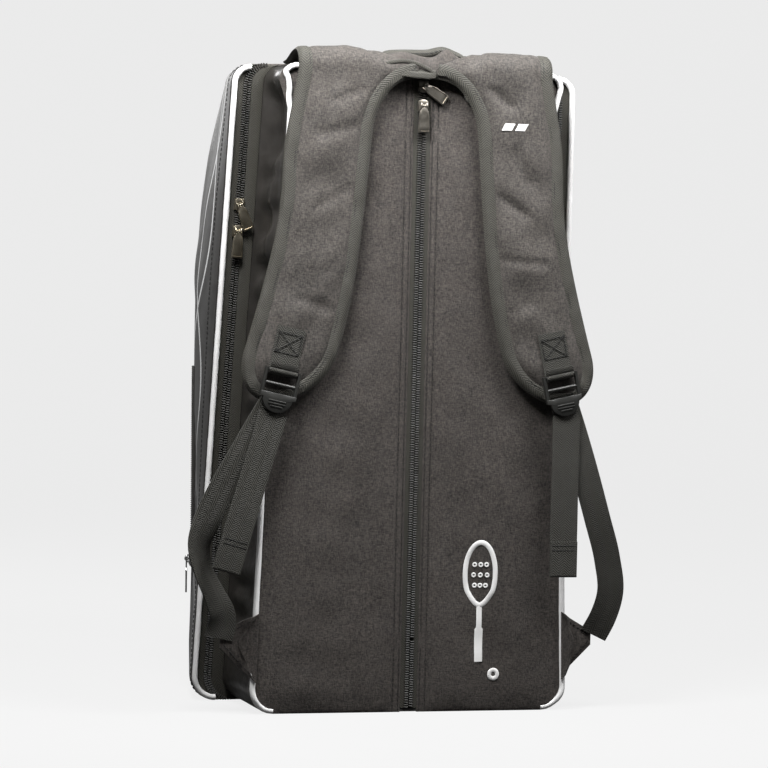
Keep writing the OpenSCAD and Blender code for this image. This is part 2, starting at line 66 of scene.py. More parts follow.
@dataclass
class Studio:
    """Camera, lights, floor and backdrop."""

    target: tuple[float, float, float] = (0.0128, -0.0055, 0.2763)
    azimuth: float = -16.45
    elevation: float = 2.0
    distance: float = 3.0
    lens: float = 156.8
    roll: float = 1.36

    def camera(self) -> None:
        """Place the camera on a line of sight through the target."""
        a, e = math.radians(self.azimuth), math.radians(self.elevation)
        away = Vector((math.sin(a) * math.cos(e), -math.cos(a) * math.cos(e), math.sin(e)))
        data = bpy.data.cameras.new("camera")
        data.lens, data.sensor_width = self.lens, 36.0
        data.clip_end = 30.0
        cam = bpy.data.objects.new("camera", data)
        bpy.context.scene.collection.objects.link(cam)
        cam.location = Vector(self.target) + away * self.distance
        turn = (-away).to_track_quat("-Z", "Y")
        roll = Matrix.Rotation(math.radians(self.roll), 4, "Z")
        cam.matrix_world = Matrix.Translation(cam.location) @ turn.to_matrix().to_4x4() @ roll
        bpy.context.scene.camera = cam

    def area(self, name: str, place: tuple, size: float, power: float) -> None:
        """Add one soft square light aimed at the middle of the bag.

        Args:
            name: name of the light.
            place: where it hangs, in metres.
            size: side of the square, in metres.
            power: strength in watts.
        """
        data = bpy.data.lights.new(name, "AREA")
        data.size, data.energy = size, power
        light = bpy.data.objects.new(name, data)
        bpy.context.scene.collection.objects.link(light)
        aim = Vector((0, 0, 0.42)) - Vector(place)
        turn = aim.to_track_quat("-Z", "Y").to_matrix().to_4x4()
        light.matrix_world = Matrix.Translation(place) @ turn

    def build(self) -> None:
        """Make lights, world and the pale sweep that the bag stands on."""
        scene = bpy.context.scene
        scene.view_settings.view_transform = "Standard"
        world = bpy.data.worlds.new("studio")
        world.use_nodes = True
        back = world.node_tree.nodes["Background"]
        back.inputs["Color"].default_value = (0.86, 0.86, 0.865, 1)
        k = Sockets(world.node_tree)
        ray = k.node("ShaderNodeLightPath")
        glow = k.math("MULTIPLY_ADD", ray.outputs["Is Camera Ray"], 0.88, 0.08)
        k.join(glow, back.inputs["Strength"])
        scene.world = world
        self.area("key_light", (-0.33, -0.47, 0.99), 0.28, 14.5)
        self.area("top_light", (0.28, -0.46, 1.0), 0.3, 9.5)
        self.area("rear_light", (-0.7, 1.25, 0.95), 0.5, 9)
        self.area("side_light", (1.2, -0.75, 0.95), 0.4, 4)
        self.floor()

    def floor(self) -> None:
        """Sweep in metres: flat from y = -4 to 2.5, a quarter circle of radius bend, then 3.5 straight up."""
        n, bend, flat, high = 33, 1.2, 0.4, 0.7
        t = np.linspace(0, 1, n)
        turn = np.clip((t - flat) / (high - flat), 0, 1) * np.pi / 2
        y = np.where(t < flat, -4 + t / flat * 6.5, 2.5 + bend * np.sin(turn))
        z = np.where(t < flat, 0.0, bend * (1 - np.cos(turn)))
        z = z + np.clip((t - high) / (1 - high), 0, 1) * 3.5
        x = np.array([-6.0, 6.0])
        pts = xyz(x[:, None], y[None], z[None]).reshape(-1, 3)
        floor = store("studio_sweep", Mesh(pts / MM, grid_quads(2, n)), [plain_stage()], smooth=60)


# ---------------------------------------------------------------- mesh tools


@dataclass
class Mesh:
    """Points in millimetres, faces as rows of indices, and one UV pair per point in metres."""

    pts: Array
    quads: Array
    tris: Array = field(default_factory=lambda: np.zeros((0, 3), int))
    uv: Array | None = None
    slot: int = 0

    def mirrored(self) -> "Mesh":
        """Return the mirror image across the YZ plane, still facing outwards."""
        return Mesh(self.pts * [-1, 1, 1], self.quads[:, ::-1], self.tris[:, ::-1], self.uv, self.slot)

    def moved(self, axes: Array, origin: Array) -> "Mesh":
        """Return a copy whose x, y and z axes are the rows of axes, placed at origin."""
        return Mesh(self.pts @ np.asarray(axes) + origin, self.quads, self.tris, self.uv, self.slot)


def grid_quads(nu: int, nv: int, round_u: bool = False, round_v: bool = False) -> Array:
    """Quads of an nu by nv grid of points, closed round either way if asked.

    Args:
        nu: points along the first direction.
        nv: points along the second.
        round_u: whether the first closes on itself.
        round_v: whether the second does.

    Returns:
        Rows of four indices.
    """
    i, j = np.arange(nu if round_u else nu - 1), np.arange(nv if round_v else nv - 1)
    a, b = np.meshgrid(i, j, indexing="ij")
    c, d = (a + 1) % nu, (b + 1) % nv
    return np.stack([a * nv + b, c * nv + b, c * nv + d, a * nv + d], -1).reshape(-1, 4)


def xyz(x: Array | float, y: Array | float, z: Array | float) -> Array:
    """Points with the given coordinates, each an array or one number for all."""
    return np.stack(np.broadcast_arrays(x, y, z), -1).astype(float)


def run_along(path: Array) -> Array:
    """Distance run along a path up to each of its points: the sum of its steps, from 0."""
    return np.concatenate([[0], np.cumsum(np.linalg.norm(np.diff(path, axis=0), axis=1))])


def fill_in(corners: Array, n: int) -> Array:
    """Closed outline through corners, with each side cut into n equal steps."""
    ends = np.roll(corners, -1, axis=0)
    return np.concatenate([np.linspace(a, b, n + 1)[:-1] for a, b in zip(corners, ends)])


def leaning(degrees: float) -> Array:
    """Rows of axes turned by an angle in the XZ plane: a positive one swings what hangs down to -X."""
    c, s = math.cos(math.radians(degrees)), math.sin(math.radians(degrees))
    return np.array([[c, 0, -s], [0, 1, 0], [s, 0, c]])


def normals(p: Array) -> Array:
    """Unit normals of a grid of points: the cross product of its two steps."""
    n = np.cross(np.gradient(p, axis=0), np.gradient(p, axis=1))
    return n / np.maximum(np.linalg.norm(n, axis=-1, keepdims=True), 1e-9)


def metres_uv(p: Array) -> Array:
    """UV in metres: running length along each of the grid's two directions, at its middle line.

    Args:
        p: grid of points in millimetres.

    Returns:
        One UV pair per point.
    """
    du = np.linalg.norm(np.diff(p, axis=0), axis=-1).mean(1)
    dv = np.linalg.norm(np.diff(p, axis=1), axis=-1).mean(0)
    u, v = np.concatenate([[0], np.cumsum(du)]), np.concatenate([[0], np.cumsum(dv)])
    return np.stack(np.meshgrid(u, v, indexing="ij"), -1) * MM


def thick_sheet(p: Array, t: float, keep: Array | None = None, uv: Array | None = None,
                slot: int = 0) -> Mesh:
    """Closed sheet: the grid p as its outer face, a copy t further in, and a rim between them.

    Args:
        p: grid of points whose normals point out.
        t: thickness.
        keep: one flag per quad of the grid; the others are left out.
        uv: UV per point, metres_uv by default.
        slot: material slot.

    Returns:
        The closed mesh.
    """
    nu, nv = p.shape[:2]
    quads = grid_quads(nu, nv)
    if keep is not None:
        quads = quads[keep.reshape(-1)]
    outer, inner = p.reshape(-1, 3), (p - t * normals(p)).reshape(-1, 3)
    n = len(outer)
    edges = np.concatenate([quads[:, [k, (k + 1) % 4]] for k in range(4)])
    key, back = edges[:, 0] * n + edges[:, 1], edges[:, 1] * n + edges[:, 0]
    rim = edges[~np.isin(key, back)]
    faces = np.concatenate([
        quads, quads[:, ::-1] + n,
        np.stack([rim[:, 1], rim[:, 0], rim[:, 0] + n, rim[:, 1] + n], 1),
    ])
    flat = (metres_uv(p) if uv is None else uv).reshape(-1, 2)
    used, faces = np.unique(faces, return_inverse=True)
    faces = faces.reshape(-1, 4)
    pts, uvs = np.concatenate([outer, inner]), np.concatenate([flat, flat])
    return Mesh(pts[used], faces, uv=uvs[used], slot=slot)


def path_frames(path: Array, across: Array) -> tuple[Array, Array]:
    """Two unit vectors square to a path: u = across x tangent, v = tangent x u.

    Args:
        path: points of the line.
        across: direction that v stays close to.

    Returns:
        The two vectors at each point.
    """
    t = np.gradient(path, axis=0)
    t = t / np.linalg.norm(t, axis=1, keepdims=True)
    u = np.cross(np.broadcast_to(across, t.shape), t)
    u = u / np.maximum(np.linalg.norm(u, axis=1, keepdims=True), 1e-9)
    return u, np.cross(t, u)


def sweep(path: Array, profile: Array, across: Array, slot: int = 0, closed: bool = False) -> Mesh:
    """Closed solid: a profile (one for all, or one per station) carried along a path.

    Args:
        path: points of the centre line.
        profile: (m, 2) or (n, m, 2) points, anticlockwise, as steps along u and v of path_frames.
        across: direction that the profile's second axis keeps to.
        slot: material slot.
        closed: whether the path is a loop.

    Returns:
        The mesh, with fans at its ends if it isn't a loop.
    """
    path = np.asarray(path, float)
    if closed:
        ring = np.concatenate([path[-2:], path, path[:2]])
        u, v = (a[2:-2] for a in path_frames(ring, across))
    else:
        u, v = path_frames(path, across)
    prof = np.broadcast_to(profile, (len(path),) + np.shape(profile)[-2:])
    p = path[:, None] + prof[..., :1] * u[:, None] + prof[..., 1:] * v[:, None]
    n, m = p.shape[:2]
    quads = grid_quads(n, m, closed, True)
    uv = np.stack(np.meshgrid(run_along(path), run_along(prof[0]), indexing="ij"), -1)
    uv = uv[..., ::-1].reshape(-1, 2) * MM
    pts = p.reshape(-1, 3)
    if closed:
        return Mesh(pts, quads, uv=uv, slot=slot)
    k = np.arange(m)
    a, b = len(pts), len(pts) + 1
    caps = np.concatenate([
        np.stack([np.full(m, a), (k + 1) % m, k], 1),
        np.stack([np.full(m, b), (n - 1) * m + k, (n - 1) * m + (k + 1) % m], 1),
    ])
    ends = np.stack([p[0].mean(0), p[-1].mean(0)])
    uv = np.concatenate([uv, uv[[0, -1]]])
    return Mesh(np.concatenate([pts, ends]), quads, caps, uv, slot)


def circle(r: float, sides: int = 10) -> Array:
    """Anticlockwise ring of points: r (cos a, sin a)."""
    a = np.arange(sides) * TAU / sides
    return r * np.stack([np.cos(a), np.sin(a)], 1)


def oval(w: float, t: float, sides: int = 16, power: float = 0.5) -> Array:
    """Anticlockwise strip section: w/2 sign(cos a)|cos a|^power by t/2 sign(sin a)|sin a|^power.

    Args:
        w: width.
        t: thickness.
        sides: number of points.
        power: 0.5 for rounded ends, less for squarer ones.

    Returns:
        The points, as (m, 2).
    """
    a = np.arange(sides) * TAU / sides
    c, s = np.cos(a), np.sin(a)
    return np.stack([w / 2 * np.sign(c) * np.abs(c) ** power,
                     t / 2 * np.sign(s) * np.abs(s) ** power], 1)


def pillow(outline: Array, y0: float, y1: float, bevel: float = 0.5, crown: float = 0.0,
           slot: int = 0) -> Mesh:
    """Rounded plate in the XZ plane, its outline drawn in towards its middle by bevel at both faces.

    Args:
        outline: (m, 2) points (x, z), in the order that the callers use, which faces outwards.
        y0: depth of the front face.
        y1: depth of the back face.
        bevel: how far the edges are eased.
        crown: how far the middle of the front face stands out.
        slot: material slot.

    Returns:
        The closed mesh.
    """
    c = outline.mean(0)
    m = len(outline)
    radial = outline - c
    length = np.linalg.norm(radial, axis=1, keepdims=True)
    inset = c + radial * (1 - bevel / np.maximum(length, bevel * 1.5))
    half = c + radial * 0.5
    eased = c + radial * (1 - 0.3 * bevel / length)
    rings = [(half, y0 - crown * 0.75), (inset, y0), (eased, y0 + 0.3 * bevel), (outline, y0 + bevel),
             (outline, y1 - bevel), (inset, y1)]
    p = np.concatenate([xyz(q[:, 0], y, q[:, 1]) for q, y in rings])
    quads = grid_quads(len(rings), m, False, True)
    k = np.arange(m)
    a = len(p)
    p = np.concatenate([p, [[c[0], y0 - crown, c[1]], [c[0], y1, c[1]]]])
    last = (len(rings) - 1) * m
    tris = np.concatenate([
        np.stack([np.full(m, a), (k + 1) % m, k], 1),
        np.stack([np.full(m, a + 1), last + k, last + (k + 1) % m], 1),
    ])
    return Mesh(p, quads[:, ::-1], tris[:, ::-1], np.stack([p[:, 0], p[:, 2]], 1) * MM, slot)


def repeat(unit: Mesh, origins: Array, axes: Array) -> Mesh:
    """Copies of one small mesh, each at its own origin, with the rows of axes as its x, y and z.

    Args:
        unit: the mesh to copy.
        origins: place of each copy.
        axes: axes of each copy, or one set for all.

    Returns:
        One mesh of all the copies.
    """
    n, m = len(origins), len(unit.pts)
    p = np.einsum("vi,nij->nvj", unit.pts, np.broadcast_to(axes, (n, 3, 3))) + origins[:, None]
    off = (np.arange(n) * m)[:, None, None]
    return Mesh(p.reshape(-1, 3), (unit.quads[None] + off).reshape(-1, 4),
                (unit.tris[None] + off).reshape(-1, 3), slot=unit.slot)


def capsule(length: float, w: float, t: float, sides: int = 6, slot: int = 0) -> Mesh:
    """Small rounded bar along x: oval rings whose size follows a half circle at both ends.

    Args:
        length: length along x.
        w: width.
        t: thickness.
        sides: points round it.
        slot: material slot.

    Returns:
        The closed mesh.
    """
    x = np.array([-0.5, -0.36, 0.36, 0.5]) * length
    k = np.array([0.45, 1, 1, 0.45])[:, None, None]
    return sweep(xyz(x, 0, 0), k * oval(w, t, sides, 0.8)[None], Z_AXIS, slot)


def placed_along(path: Array, pitch: float, across: Array, start: float = 0.5) -> tuple[Array, Array]:
    """Evenly spaced points on a path, with axes (tangent, out, across) at each.

    Args:
        path: dense points of the line.
        pitch: spacing.
        across: direction close to the third axis.
        start: place of the first point, as a share of the pitch.

    Returns:
        Origins (n, 3) and axes (n, 3, 3), rows tangent, out and side.
    """
    s = run_along(path)
    at = np.arange(start * pitch, s[-1], pitch)
    eps = pitch * 0.3
    o, ahead, behind = (np.stack([np.interp(q, s, path[:, k]) for k in range(3)], 1)
                        for q in (at, at + eps, at - eps))
    t = ahead - behind
    t /= np.maximum(np.linalg.norm(t, axis=1, keepdims=True), 1e-9)
    out = np.cross(np.broadcast_to(across, t.shape), t)
    out /= np.maximum(np.linalg.norm(out, axis=1, keepdims=True), 1e-9)
    return o, np.stack([t, out, np.cross(t, out)], 1)


def store(name: str, parts: Mesh | list[Mesh], materials: list,
          smooth: float = 40.0) -> bpy.types.Object:
    """Join mesh parts into one object at the origin.

    Args:
        name: name of the piece.
        parts: one mesh or several.
        materials: the materials that the parts' slot numbers point to.
        smooth: edges sharper than this angle, in degrees, stay crisp.

    Returns:
        The new object.
    """
    parts = parts if isinstance(parts, list) else [parts]
    off = np.cumsum([0] + [len(q.pts) for q in parts])
    quads = np.concatenate([q.quads + o for q, o in zip(parts, off)])
    tris = np.concatenate([q.tris + o for q, o in zip(parts, off)])
    slots = np.concatenate([np.full(len(q.quads), q.slot) for q in parts]
                           + [np.full(len(q.tris), q.slot) for q in parts])
    pts = np.concatenate([q.pts for q in parts]) * MM
    pts[:, 2] = np.maximum(pts[:, 2], 0.0)
    mesh = bpy.data.meshes.new(name)
    mesh.vertices.add(len(pts))
    mesh.vertices.foreach_set("co", pts.astype(np.float32).reshape(-1))
    loops = np.concatenate([quads.reshape(-1), tris.reshape(-1)])
    sizes = np.concatenate([np.full(len(quads), 4), np.full(len(tris), 3)])
    mesh.loops.add(len(loops))
    mesh.loops.foreach_set("vertex_index", loops.astype(np.int32))
    mesh.polygons.add(len(sizes))
    mesh.polygons.foreach_set("loop_start", (np.cumsum(sizes) - sizes).astype(np.int32))
    mesh.polygons.foreach_set("material_index", slots.astype(np.int32))
    mesh.polygons.foreach_set("use_smooth", np.ones(len(sizes), bool))
    mesh.update(calc_edges=True)
    mesh.validate()
    uv = np.concatenate([q.uv if q.uv is not None else q.pts[:, [0, 2]] * MM for q in parts])
    layer = mesh.uv_layers.new(name="cloth")
    order = np.zeros(len(mesh.loops), np.int32)
    mesh.loops.foreach_get("vertex_index", order)
    layer.data.foreach_set("uv", uv[order].astype(np.float32).reshape(-1))
    mesh.set_sharp_from_angle(angle=math.radians(smooth))
    for m in materials:
        mesh.materials.append(m)
    obj = bpy.data.objects.new(name, mesh)
    bpy.context.scene.collection.objects.link(obj)
    return obj


@dataclass
class Ripples:
    """Seeded soft folds: a sum of sine waves whose lengths and directions vary about a mean."""

    seed: int
    height: float
    length: float
    slant: float = 0.0
    spread: float = 0.5
    count: int = 9

    def at(self, a: Array, b: Array) -> Array:
        """Height at the point (a, b), where a runs across the folds: sum of h sin(2 pi k.p + phase).

        Args:
            a: first coordinate.
            b: second coordinate.

        Returns:
            One height per point.
        """
        rng = np.random.default_rng(self.seed)
        turn = self.slant + self.spread * rng.normal(size=self.count)
        k = TAU / (self.length * rng.uniform(0.6, 1.9, self.count))
        h = self.height * rng.uniform(0.4, 1.0, self.count) / math.sqrt(self.count)
        ph = rng.uniform(0, TAU, self.count)
        a, b = np.asarray(a)[..., None], np.asarray(b)[..., None]
        return (h * np.sin(a * (k * np.cos(turn)) + b * (k * np.sin(turn)) + ph)).sum(-1)


def crease(x: Array, z: Array, a: tuple, b: tuple, depth: float, width: float) -> Array:
    """Dent along a line: depth times the bell curve of the distance to the stretch from a to b.

    Args:
        x: first coordinate of the points.
        z: second coordinate.
        a: one end of the line.
        b: its other end.
        depth: depth of the dent.
        width: distance at which it has faded to a third.

    Returns:
        Depth at each point.
    """
    a, b = np.array(a, float), np.array(b, float)
    d = b - a
    t = np.clip(((x - a[0]) * d[0] + (z - a[1]) * d[1]) / (d @ d), 0, 1)
    gap = np.hypot(x - a[0] - t * d[0], z - a[1] - t * d[1])
    return depth * np.exp(-((gap / width) ** 2))


# ---------------------------------------------------------------- materials


class Sockets:
    """Short way to add nodes and join them in one node tree."""

    def __init__(self, tree: bpy.types.NodeTree) -> None:
        """Keep the tree."""
        self.tree = tree

    def node(self, kind: str, **values: object) -> bpy.types.Node:
        """Add a node; keyword values set its attributes.

        Args:
            kind: Blender's name of the node type.
            values: attributes of the node.

        Returns:
            The new node.
        """
        n = self.tree.nodes.new(kind)
        for k, v in values.items():
            setattr(n, k, v)
        return n

    def join(self, a: object, b: object) -> None:
        """Link output a to input b."""
        self.tree.links.new(a, b)

    def feed(self, socket: object, value: object) -> None:
        """Link value to a socket if it is an output, or set the socket to it.

        Args:
            socket: the input.
            value: an output or a plain value.
        """
        if isinstance(value, bpy.types.NodeSocket):
            self.join(value, socket)
        else:
            socket.default_value = value

    def math(self, op: str, a: object, b: object = 0.0, c: object = 0.0) -> object:
        """Math node.

        Args:
            op: Blender's name of the operation.
            a: first value or output.
            b: second.
            c: third.

        Returns:
            The result's output.
        """
        n = self.node("ShaderNodeMath", operation=op)
        for s, v in zip(n.inputs, (a, b, c)):
            self.feed(s, v)
        return n.outputs[0]

    def mix(self, t: object, a: object, b: object) -> object:
        """Colour mix of a and b by t.

        Args:
            t: share of b.
            a: first colour.
            b: second colour.

        Returns:
            The colour's output.
        """
        n = self.node("ShaderNodeMix", data_type="RGBA")
        self.feed(n.inputs["Factor"], t)
        self.feed(n.inputs["A"], a)
        self.feed(n.inputs["B"], b)
        return n.outputs["Result"]

    def noise(self, vector: object, scale: float, detail: float = 3.0,
              rough: float = 0.55) -> object:
        """Noise value at a vector.

        Args:
            vector: where the noise is read.
            scale: its scale.
            detail: number of finer layers.
            rough: strength of the finer layers.

        Returns:
            The value's output.
        """
        n = self.node("ShaderNodeTexNoise")
        self.feed(n.inputs["Vector"], vector)
        self.feed(n.inputs["Scale"], scale)
        self.feed(n.inputs["Detail"], detail)
        self.feed(n.inputs["Roughness"], rough)
        return n.outputs["Fac"]

    def span(self, value: object, a: float, b: float, lo: float = 0.0, hi: float = 1.0) -> object:
        """Map a value from a..b to lo..hi, clamped.

        Args:
            value: the value to map.
            a: start of its range.
            b: end of its range.
            lo: result at a.
            hi: result at b.

        Returns:
            The result's output.
        """
        n = self.node("ShaderNodeMapRange")
        for k, v in zip(("Value", "From Min", "From Max", "To Min", "To Max"), (value, a, b, lo, hi)):
            self.feed(n.inputs[k], v)
        return n.outputs["Result"]

    def scaled(self, vector: object, x: float, y: float, z: float) -> object:
        """Vector stretched along its axes.

        Args:
            vector: the vector's output.
            x: scale along x.
            y: scale along y.
            z: scale along z.

        Returns:
            The scaled vector's output.
        """
        n = self.node("ShaderNodeMapping")
        self.join(vector, n.inputs["Vector"])
        n.inputs["Scale"].default_value = (x, y, z)
        return n.outputs["Vector"]


def group(name: str, inputs: list[tuple[str, str, object]], outputs: list[tuple[str, str]]) -> tuple:
    """New shader node group with named sockets.

    Args:
        name: the group's name.
        inputs: name, type and default of each input.
        outputs: name and type of each output.

    Returns:
        The tree, its Sockets helper, the input node and the output node.
    """
    tree = bpy.data.node_groups.new(name, "ShaderNodeTree")
    for n, kind, value in inputs:
        s = tree.interface.new_socket(n, in_out="INPUT", socket_type=kind)
        if value is not None:
            s.default_value = value
    for n, kind in outputs:
        tree.interface.new_socket(n, in_out="OUTPUT", socket_type=kind)
    k = Sockets(tree)
    return tree, k, k.node("NodeGroupInput"), k.node("NodeGroupOutput")


FLOAT, VECTOR, COLOR = "NodeSocketFloat", "NodeSocketVector", "NodeSocketColor"
BLACK, WHITE = (0, 0, 0, 1), (1, 1, 1, 1)


def heather_group() -> bpy.types.NodeTree:
    """Heathered yarns: two stretched noises make light and dark threads, one broad one fades them.

    Returns:
        The group's tree.
    """
    inputs = [("Vector", VECTOR, None), ("Dark", COLOR, BLACK), ("Light", COLOR, WHITE),
              ("Pitch", FLOAT, 1500.0)]
    tree, k, i, o = group("heathered_weave", inputs, [("Color", COLOR), ("Height", FLOAT)])
    v, pitch = i.outputs["Vector"], i.outputs["Pitch"]
    warp = k.noise(k.scaled(v, 1.0, 0.34, 0.34), 1.0)
    k.join(k.math("MULTIPLY", pitch, 0.62), warp.node.inputs["Scale"])
    weft = k.noise(k.scaled(v, 0.3, 1.0, 1.0), 1.0)
    k.join(k.math("MULTIPLY", pitch, 0.62), weft.node.inputs["Scale"])
    flecks = k.span(k.math("MULTIPLY", k.math("ADD", warp, weft), 0.5), 0.36, 0.66)
    broad = k.span(k.noise(v, 34.0, 4.0), 0.3, 0.7, 0.0, 0.12)
    tone = k.math("ADD", k.math("MULTIPLY", flecks, 0.9), broad)
    k.join(k.mix(tone, i.outputs["Dark"], i.outputs["Light"]), o.inputs["Color"])
    rib = k.node("ShaderNodeTexChecker")
    k.join(v, rib.inputs["Vector"])
    k.join(pitch, rib.inputs["Scale"])
    k.join(k.math("ADD", k.math("MULTIPLY", rib.outputs["Fac"], 0.35), flecks), o.inputs["Height"])
    return tree


def herringbone_group() -> bpy.types.NodeTree:
    """Chevron ribs on a UV map in metres: saw(v + |saw(u)|) gives the slanted ribs of each column.

    Returns:
        The group's tree.
    """
    inputs = [("Vector", VECTOR, None), ("Dark", COLOR, BLACK), ("Light", COLOR, WHITE),
              ("Column", FLOAT, 0.005), ("Rib", FLOAT, 0.0021)]
    tree, k, i, o = group("herringbone", inputs, [("Color", COLOR), ("Height", FLOAT)])
    parted = k.node("ShaderNodeSeparateXYZ")
    k.join(i.outputs["Vector"], parted.inputs[0])
    u = k.math("PINGPONG", parted.outputs["X"], i.outputs["Column"])
    slanted = k.math("ADD", parted.outputs["Y"], k.math("MULTIPLY", u, 0.9))
    run = k.math("DIVIDE", slanted, i.outputs["Rib"])
    rib = k.math("SINE", k.math("MULTIPLY", run, TAU))
    fleck = k.noise(i.outputs["Vector"], 900.0, 2.0)
    tone = k.math("MULTIPLY_ADD", rib, 0.3, k.math("MULTIPLY_ADD", fleck, 0.6, 0.08))
    k.join(k.mix(k.span(tone, 0.0, 1.0), i.outputs["Dark"], i.outputs["Light"]), o.inputs["Color"])
    k.join(k.math("MULTIPLY_ADD", rib, 0.5, k.math("MULTIPLY", fleck, 0.3)), o.inputs["Height"])
    return tree


def dust_and_top_light_group() -> bpy.types.NodeTree:
    """Dust in broad random patches, plus painted top light: more of the paler tone on faces that look up.

    Returns:
        The group's tree.
    """
    inputs = [("Color", COLOR, BLACK), ("Dust and top light", COLOR, (0.3, 0.29, 0.27, 1)), ("Amount", FLOAT, 0.1)]
    tree, k, i, o = group("dust_and_painted_top_light", inputs, [("Color", COLOR), ("Mask", FLOAT)])
    geo = k.node("ShaderNodeNewGeometry")
    where = k.node("ShaderNodeTexCoord")
    up = k.node("ShaderNodeSeparateXYZ")
    k.join(geo.outputs["Normal"], up.inputs[0])
    patch = k.span(k.noise(where.outputs["Object"], 21.0, 6.0, 0.62), 0.42, 0.78)
    # painted top light: faces that look up get up to 0.8 more of the paler tone than the dust patches give
    both = k.math("ADD", patch, k.span(up.outputs["Z"], 0.1, 1.0, 0.0, 0.8))
    mask = k.math("MULTIPLY", both, i.outputs["Amount"])
    k.join(k.mix(mask, i.outputs["Color"], i.outputs["Dust and top light"]), o.inputs["Color"])
    k.join(mask, o.inputs["Mask"])
    return tree


class Shared:
    """Node groups that several materials use, each made once."""

    made: dict[str, bpy.types.NodeTree] = {}

    @classmethod
    def get(cls, name: str) -> bpy.types.NodeTree:
        """Return the named group, making it the first time.

        Args:
            name: heather, herringbone or dust_and_top_light.

        Returns:
            The group's tree.
        """
        makers = {"heather": heather_group, "herringbone": herringbone_group, "dust_and_top_light": dust_and_top_light_group}
        if name not in cls.made:
            cls.made[name] = makers[name]()
        return cls.made[name]


class Weave(Enum):
    """Surface pattern of a finish."""

    HEATHER = "heather"
    HERRINGBONE = "herringbone"
    SMOOTH = "smooth"
    WAVES = "waves"


@dataclass(frozen=True)
class Finish:
    """One finish: its two tones, weave and how it shines."""

    name: str
    dark: tuple[float, float, float]
    light: tuple[float, float, float]
    weave: Weave = Weave.SMOOTH
    roughness: float = 0.8
    sheen: float = 0.0
    coat: float = 0.0
    metallic: float = 0.0
    pitch: float = 1500.0
    bump: float = 0.15
    # share of the paler tone: random dust patches plus painted top light on faces that look up
    dust_and_light: float = 0.06
    bump_distance: float = 0.0004

    def material(self) -> bpy.types.Material:
        """Build the procedural material of this finish.

        Returns:
            The material, which is made only once.
        """
        if self.name in bpy.data.materials:
            return bpy.data.materials[self.name]
        m = bpy.data.materials.new(self.name)
        m.use_nodes = True
        k = Sockets(m.node_tree)
        shader = m.node_tree.nodes["Principled BSDF"]
        where = k.node("ShaderNodeTexCoord")
        dark, light = (*self.dark, 1.0), (*self.light, 1.0)
        if self.weave in (Weave.HEATHER, Weave.HERRINGBONE):
            g = k.node("ShaderNodeGroup", node_tree=Shared.get(self.weave.value))
            source = "Object" if self.weave is Weave.HEATHER else "UV"
            k.join(where.outputs[source], g.inputs["Vector"])
            g.inputs["Dark"].default_value, g.inputs["Light"].default_value = dark, light
            if self.weave is Weave.HEATHER:
                g.inputs["Pitch"].default_value = self.pitch
            colour, height = g.outputs["Color"], g.outputs["Height"]
        else:
            broad = k.noise(where.outputs["Object"], 46.0, 5.0)
            fine = k.noise(where.outputs["Object"], 1300.0, 2.0)
            tone = k.span(k.math("MULTIPLY_ADD", fine, 0.35, k.math("MULTIPLY", broad, 0.65)), 0.3, 0.7)
            colour, height = k.mix(tone, dark, light), fine
            if self.weave is Weave.WAVES:
                colour = self.waves(k, where.outputs["UV"], colour)
        # paler tone mixed in: random dust patches plus painted top light on faces that look up
        w = k.node("ShaderNodeGroup", node_tree=Shared.get("dust_and_top_light"))
        k.join(colour, w.inputs["Color"])
        w.inputs["Amount"].default_value = self.dust_and_light
        dust_and_light = tuple(0.35 * c + 0.2 for c in self.light)
        w.inputs["Dust and top light"].default_value = (*dust_and_light, 1.0)
        k.join(w.outputs["Color"], shader.inputs["Base Color"])
        low, high = max(0.05, self.roughness - 0.07), min(1.0, self.roughness + 0.07)
        k.join(k.span(k.noise(where.outputs["Object"], 120.0, 3.0), 0.3, 0.7, low, high),
               shader.inputs["Roughness"])
        bump = k.node("ShaderNodeBump")
        bump.inputs["Strength"].default_value = self.bump
        bump.inputs["Distance"].default_value = self.bump_distance
        k.join(height, bump.inputs["Height"])
        k.join(bump.outputs["Normal"], shader.inputs["Normal"])
        shader.inputs["Metallic"].default_value = self.metallic
        shader.inputs["Sheen Weight"].default_value = self.sheen
        shader.inputs["Sheen Roughness"].default_value = 0.4
        shader.inputs["Coat Weight"].default_value = self.coat
        shader.inputs["Coat Roughness"].default_value = 0.25
        return m

    def waves(self, k: Sockets, uv: object, ground: object) -> object:
        """Thin pale flowing lines: where a bent ramp u + a sin(b v + c u) crosses whole steps.

        Args:
            k: helper of the material's tree.
            uv: the UV output.
            ground: colour between the lines.

        Returns:
            The colour's output.
        """
        parted = k.node("ShaderNodeSeparateXYZ")
        k.join(uv, parted.inputs[0])
        u, v = parted.outputs["X"], parted.outputs["Y"]
        lines = []
        flows = ((0.016, 27.0, 9.0, 0.062, 0.3, 0.02), (0.022, 19.0, -14.0, 0.095, 0.55, 0.016),
                 (0.02, 36.0, 6.0, 0.16, 0.2, 0.018))
        for a, b, c, step, shift, width in flows:
            swing = k.math("SINE", k.math("MULTIPLY_ADD", v, b, k.math("MULTIPLY", u, c)))
            run = k.math("DIVIDE", k.math("MULTIPLY_ADD", swing, a, u), step)
            gap = k.math("PINGPONG", k.math("ADD", run, shift), 0.5)
            thin = width * 0.052 / step
            lines.append(k.span(gap, thin, thin * 2.2, 1.0, 0.0))
        both = k.math("MAXIMUM", k.math("MAXIMUM", lines[0], lines[1]), lines[2])
        return k.mix(k.math("MULTIPLY", both, 0.9), ground, (0.8, 0.8, 0.8, 1.0))


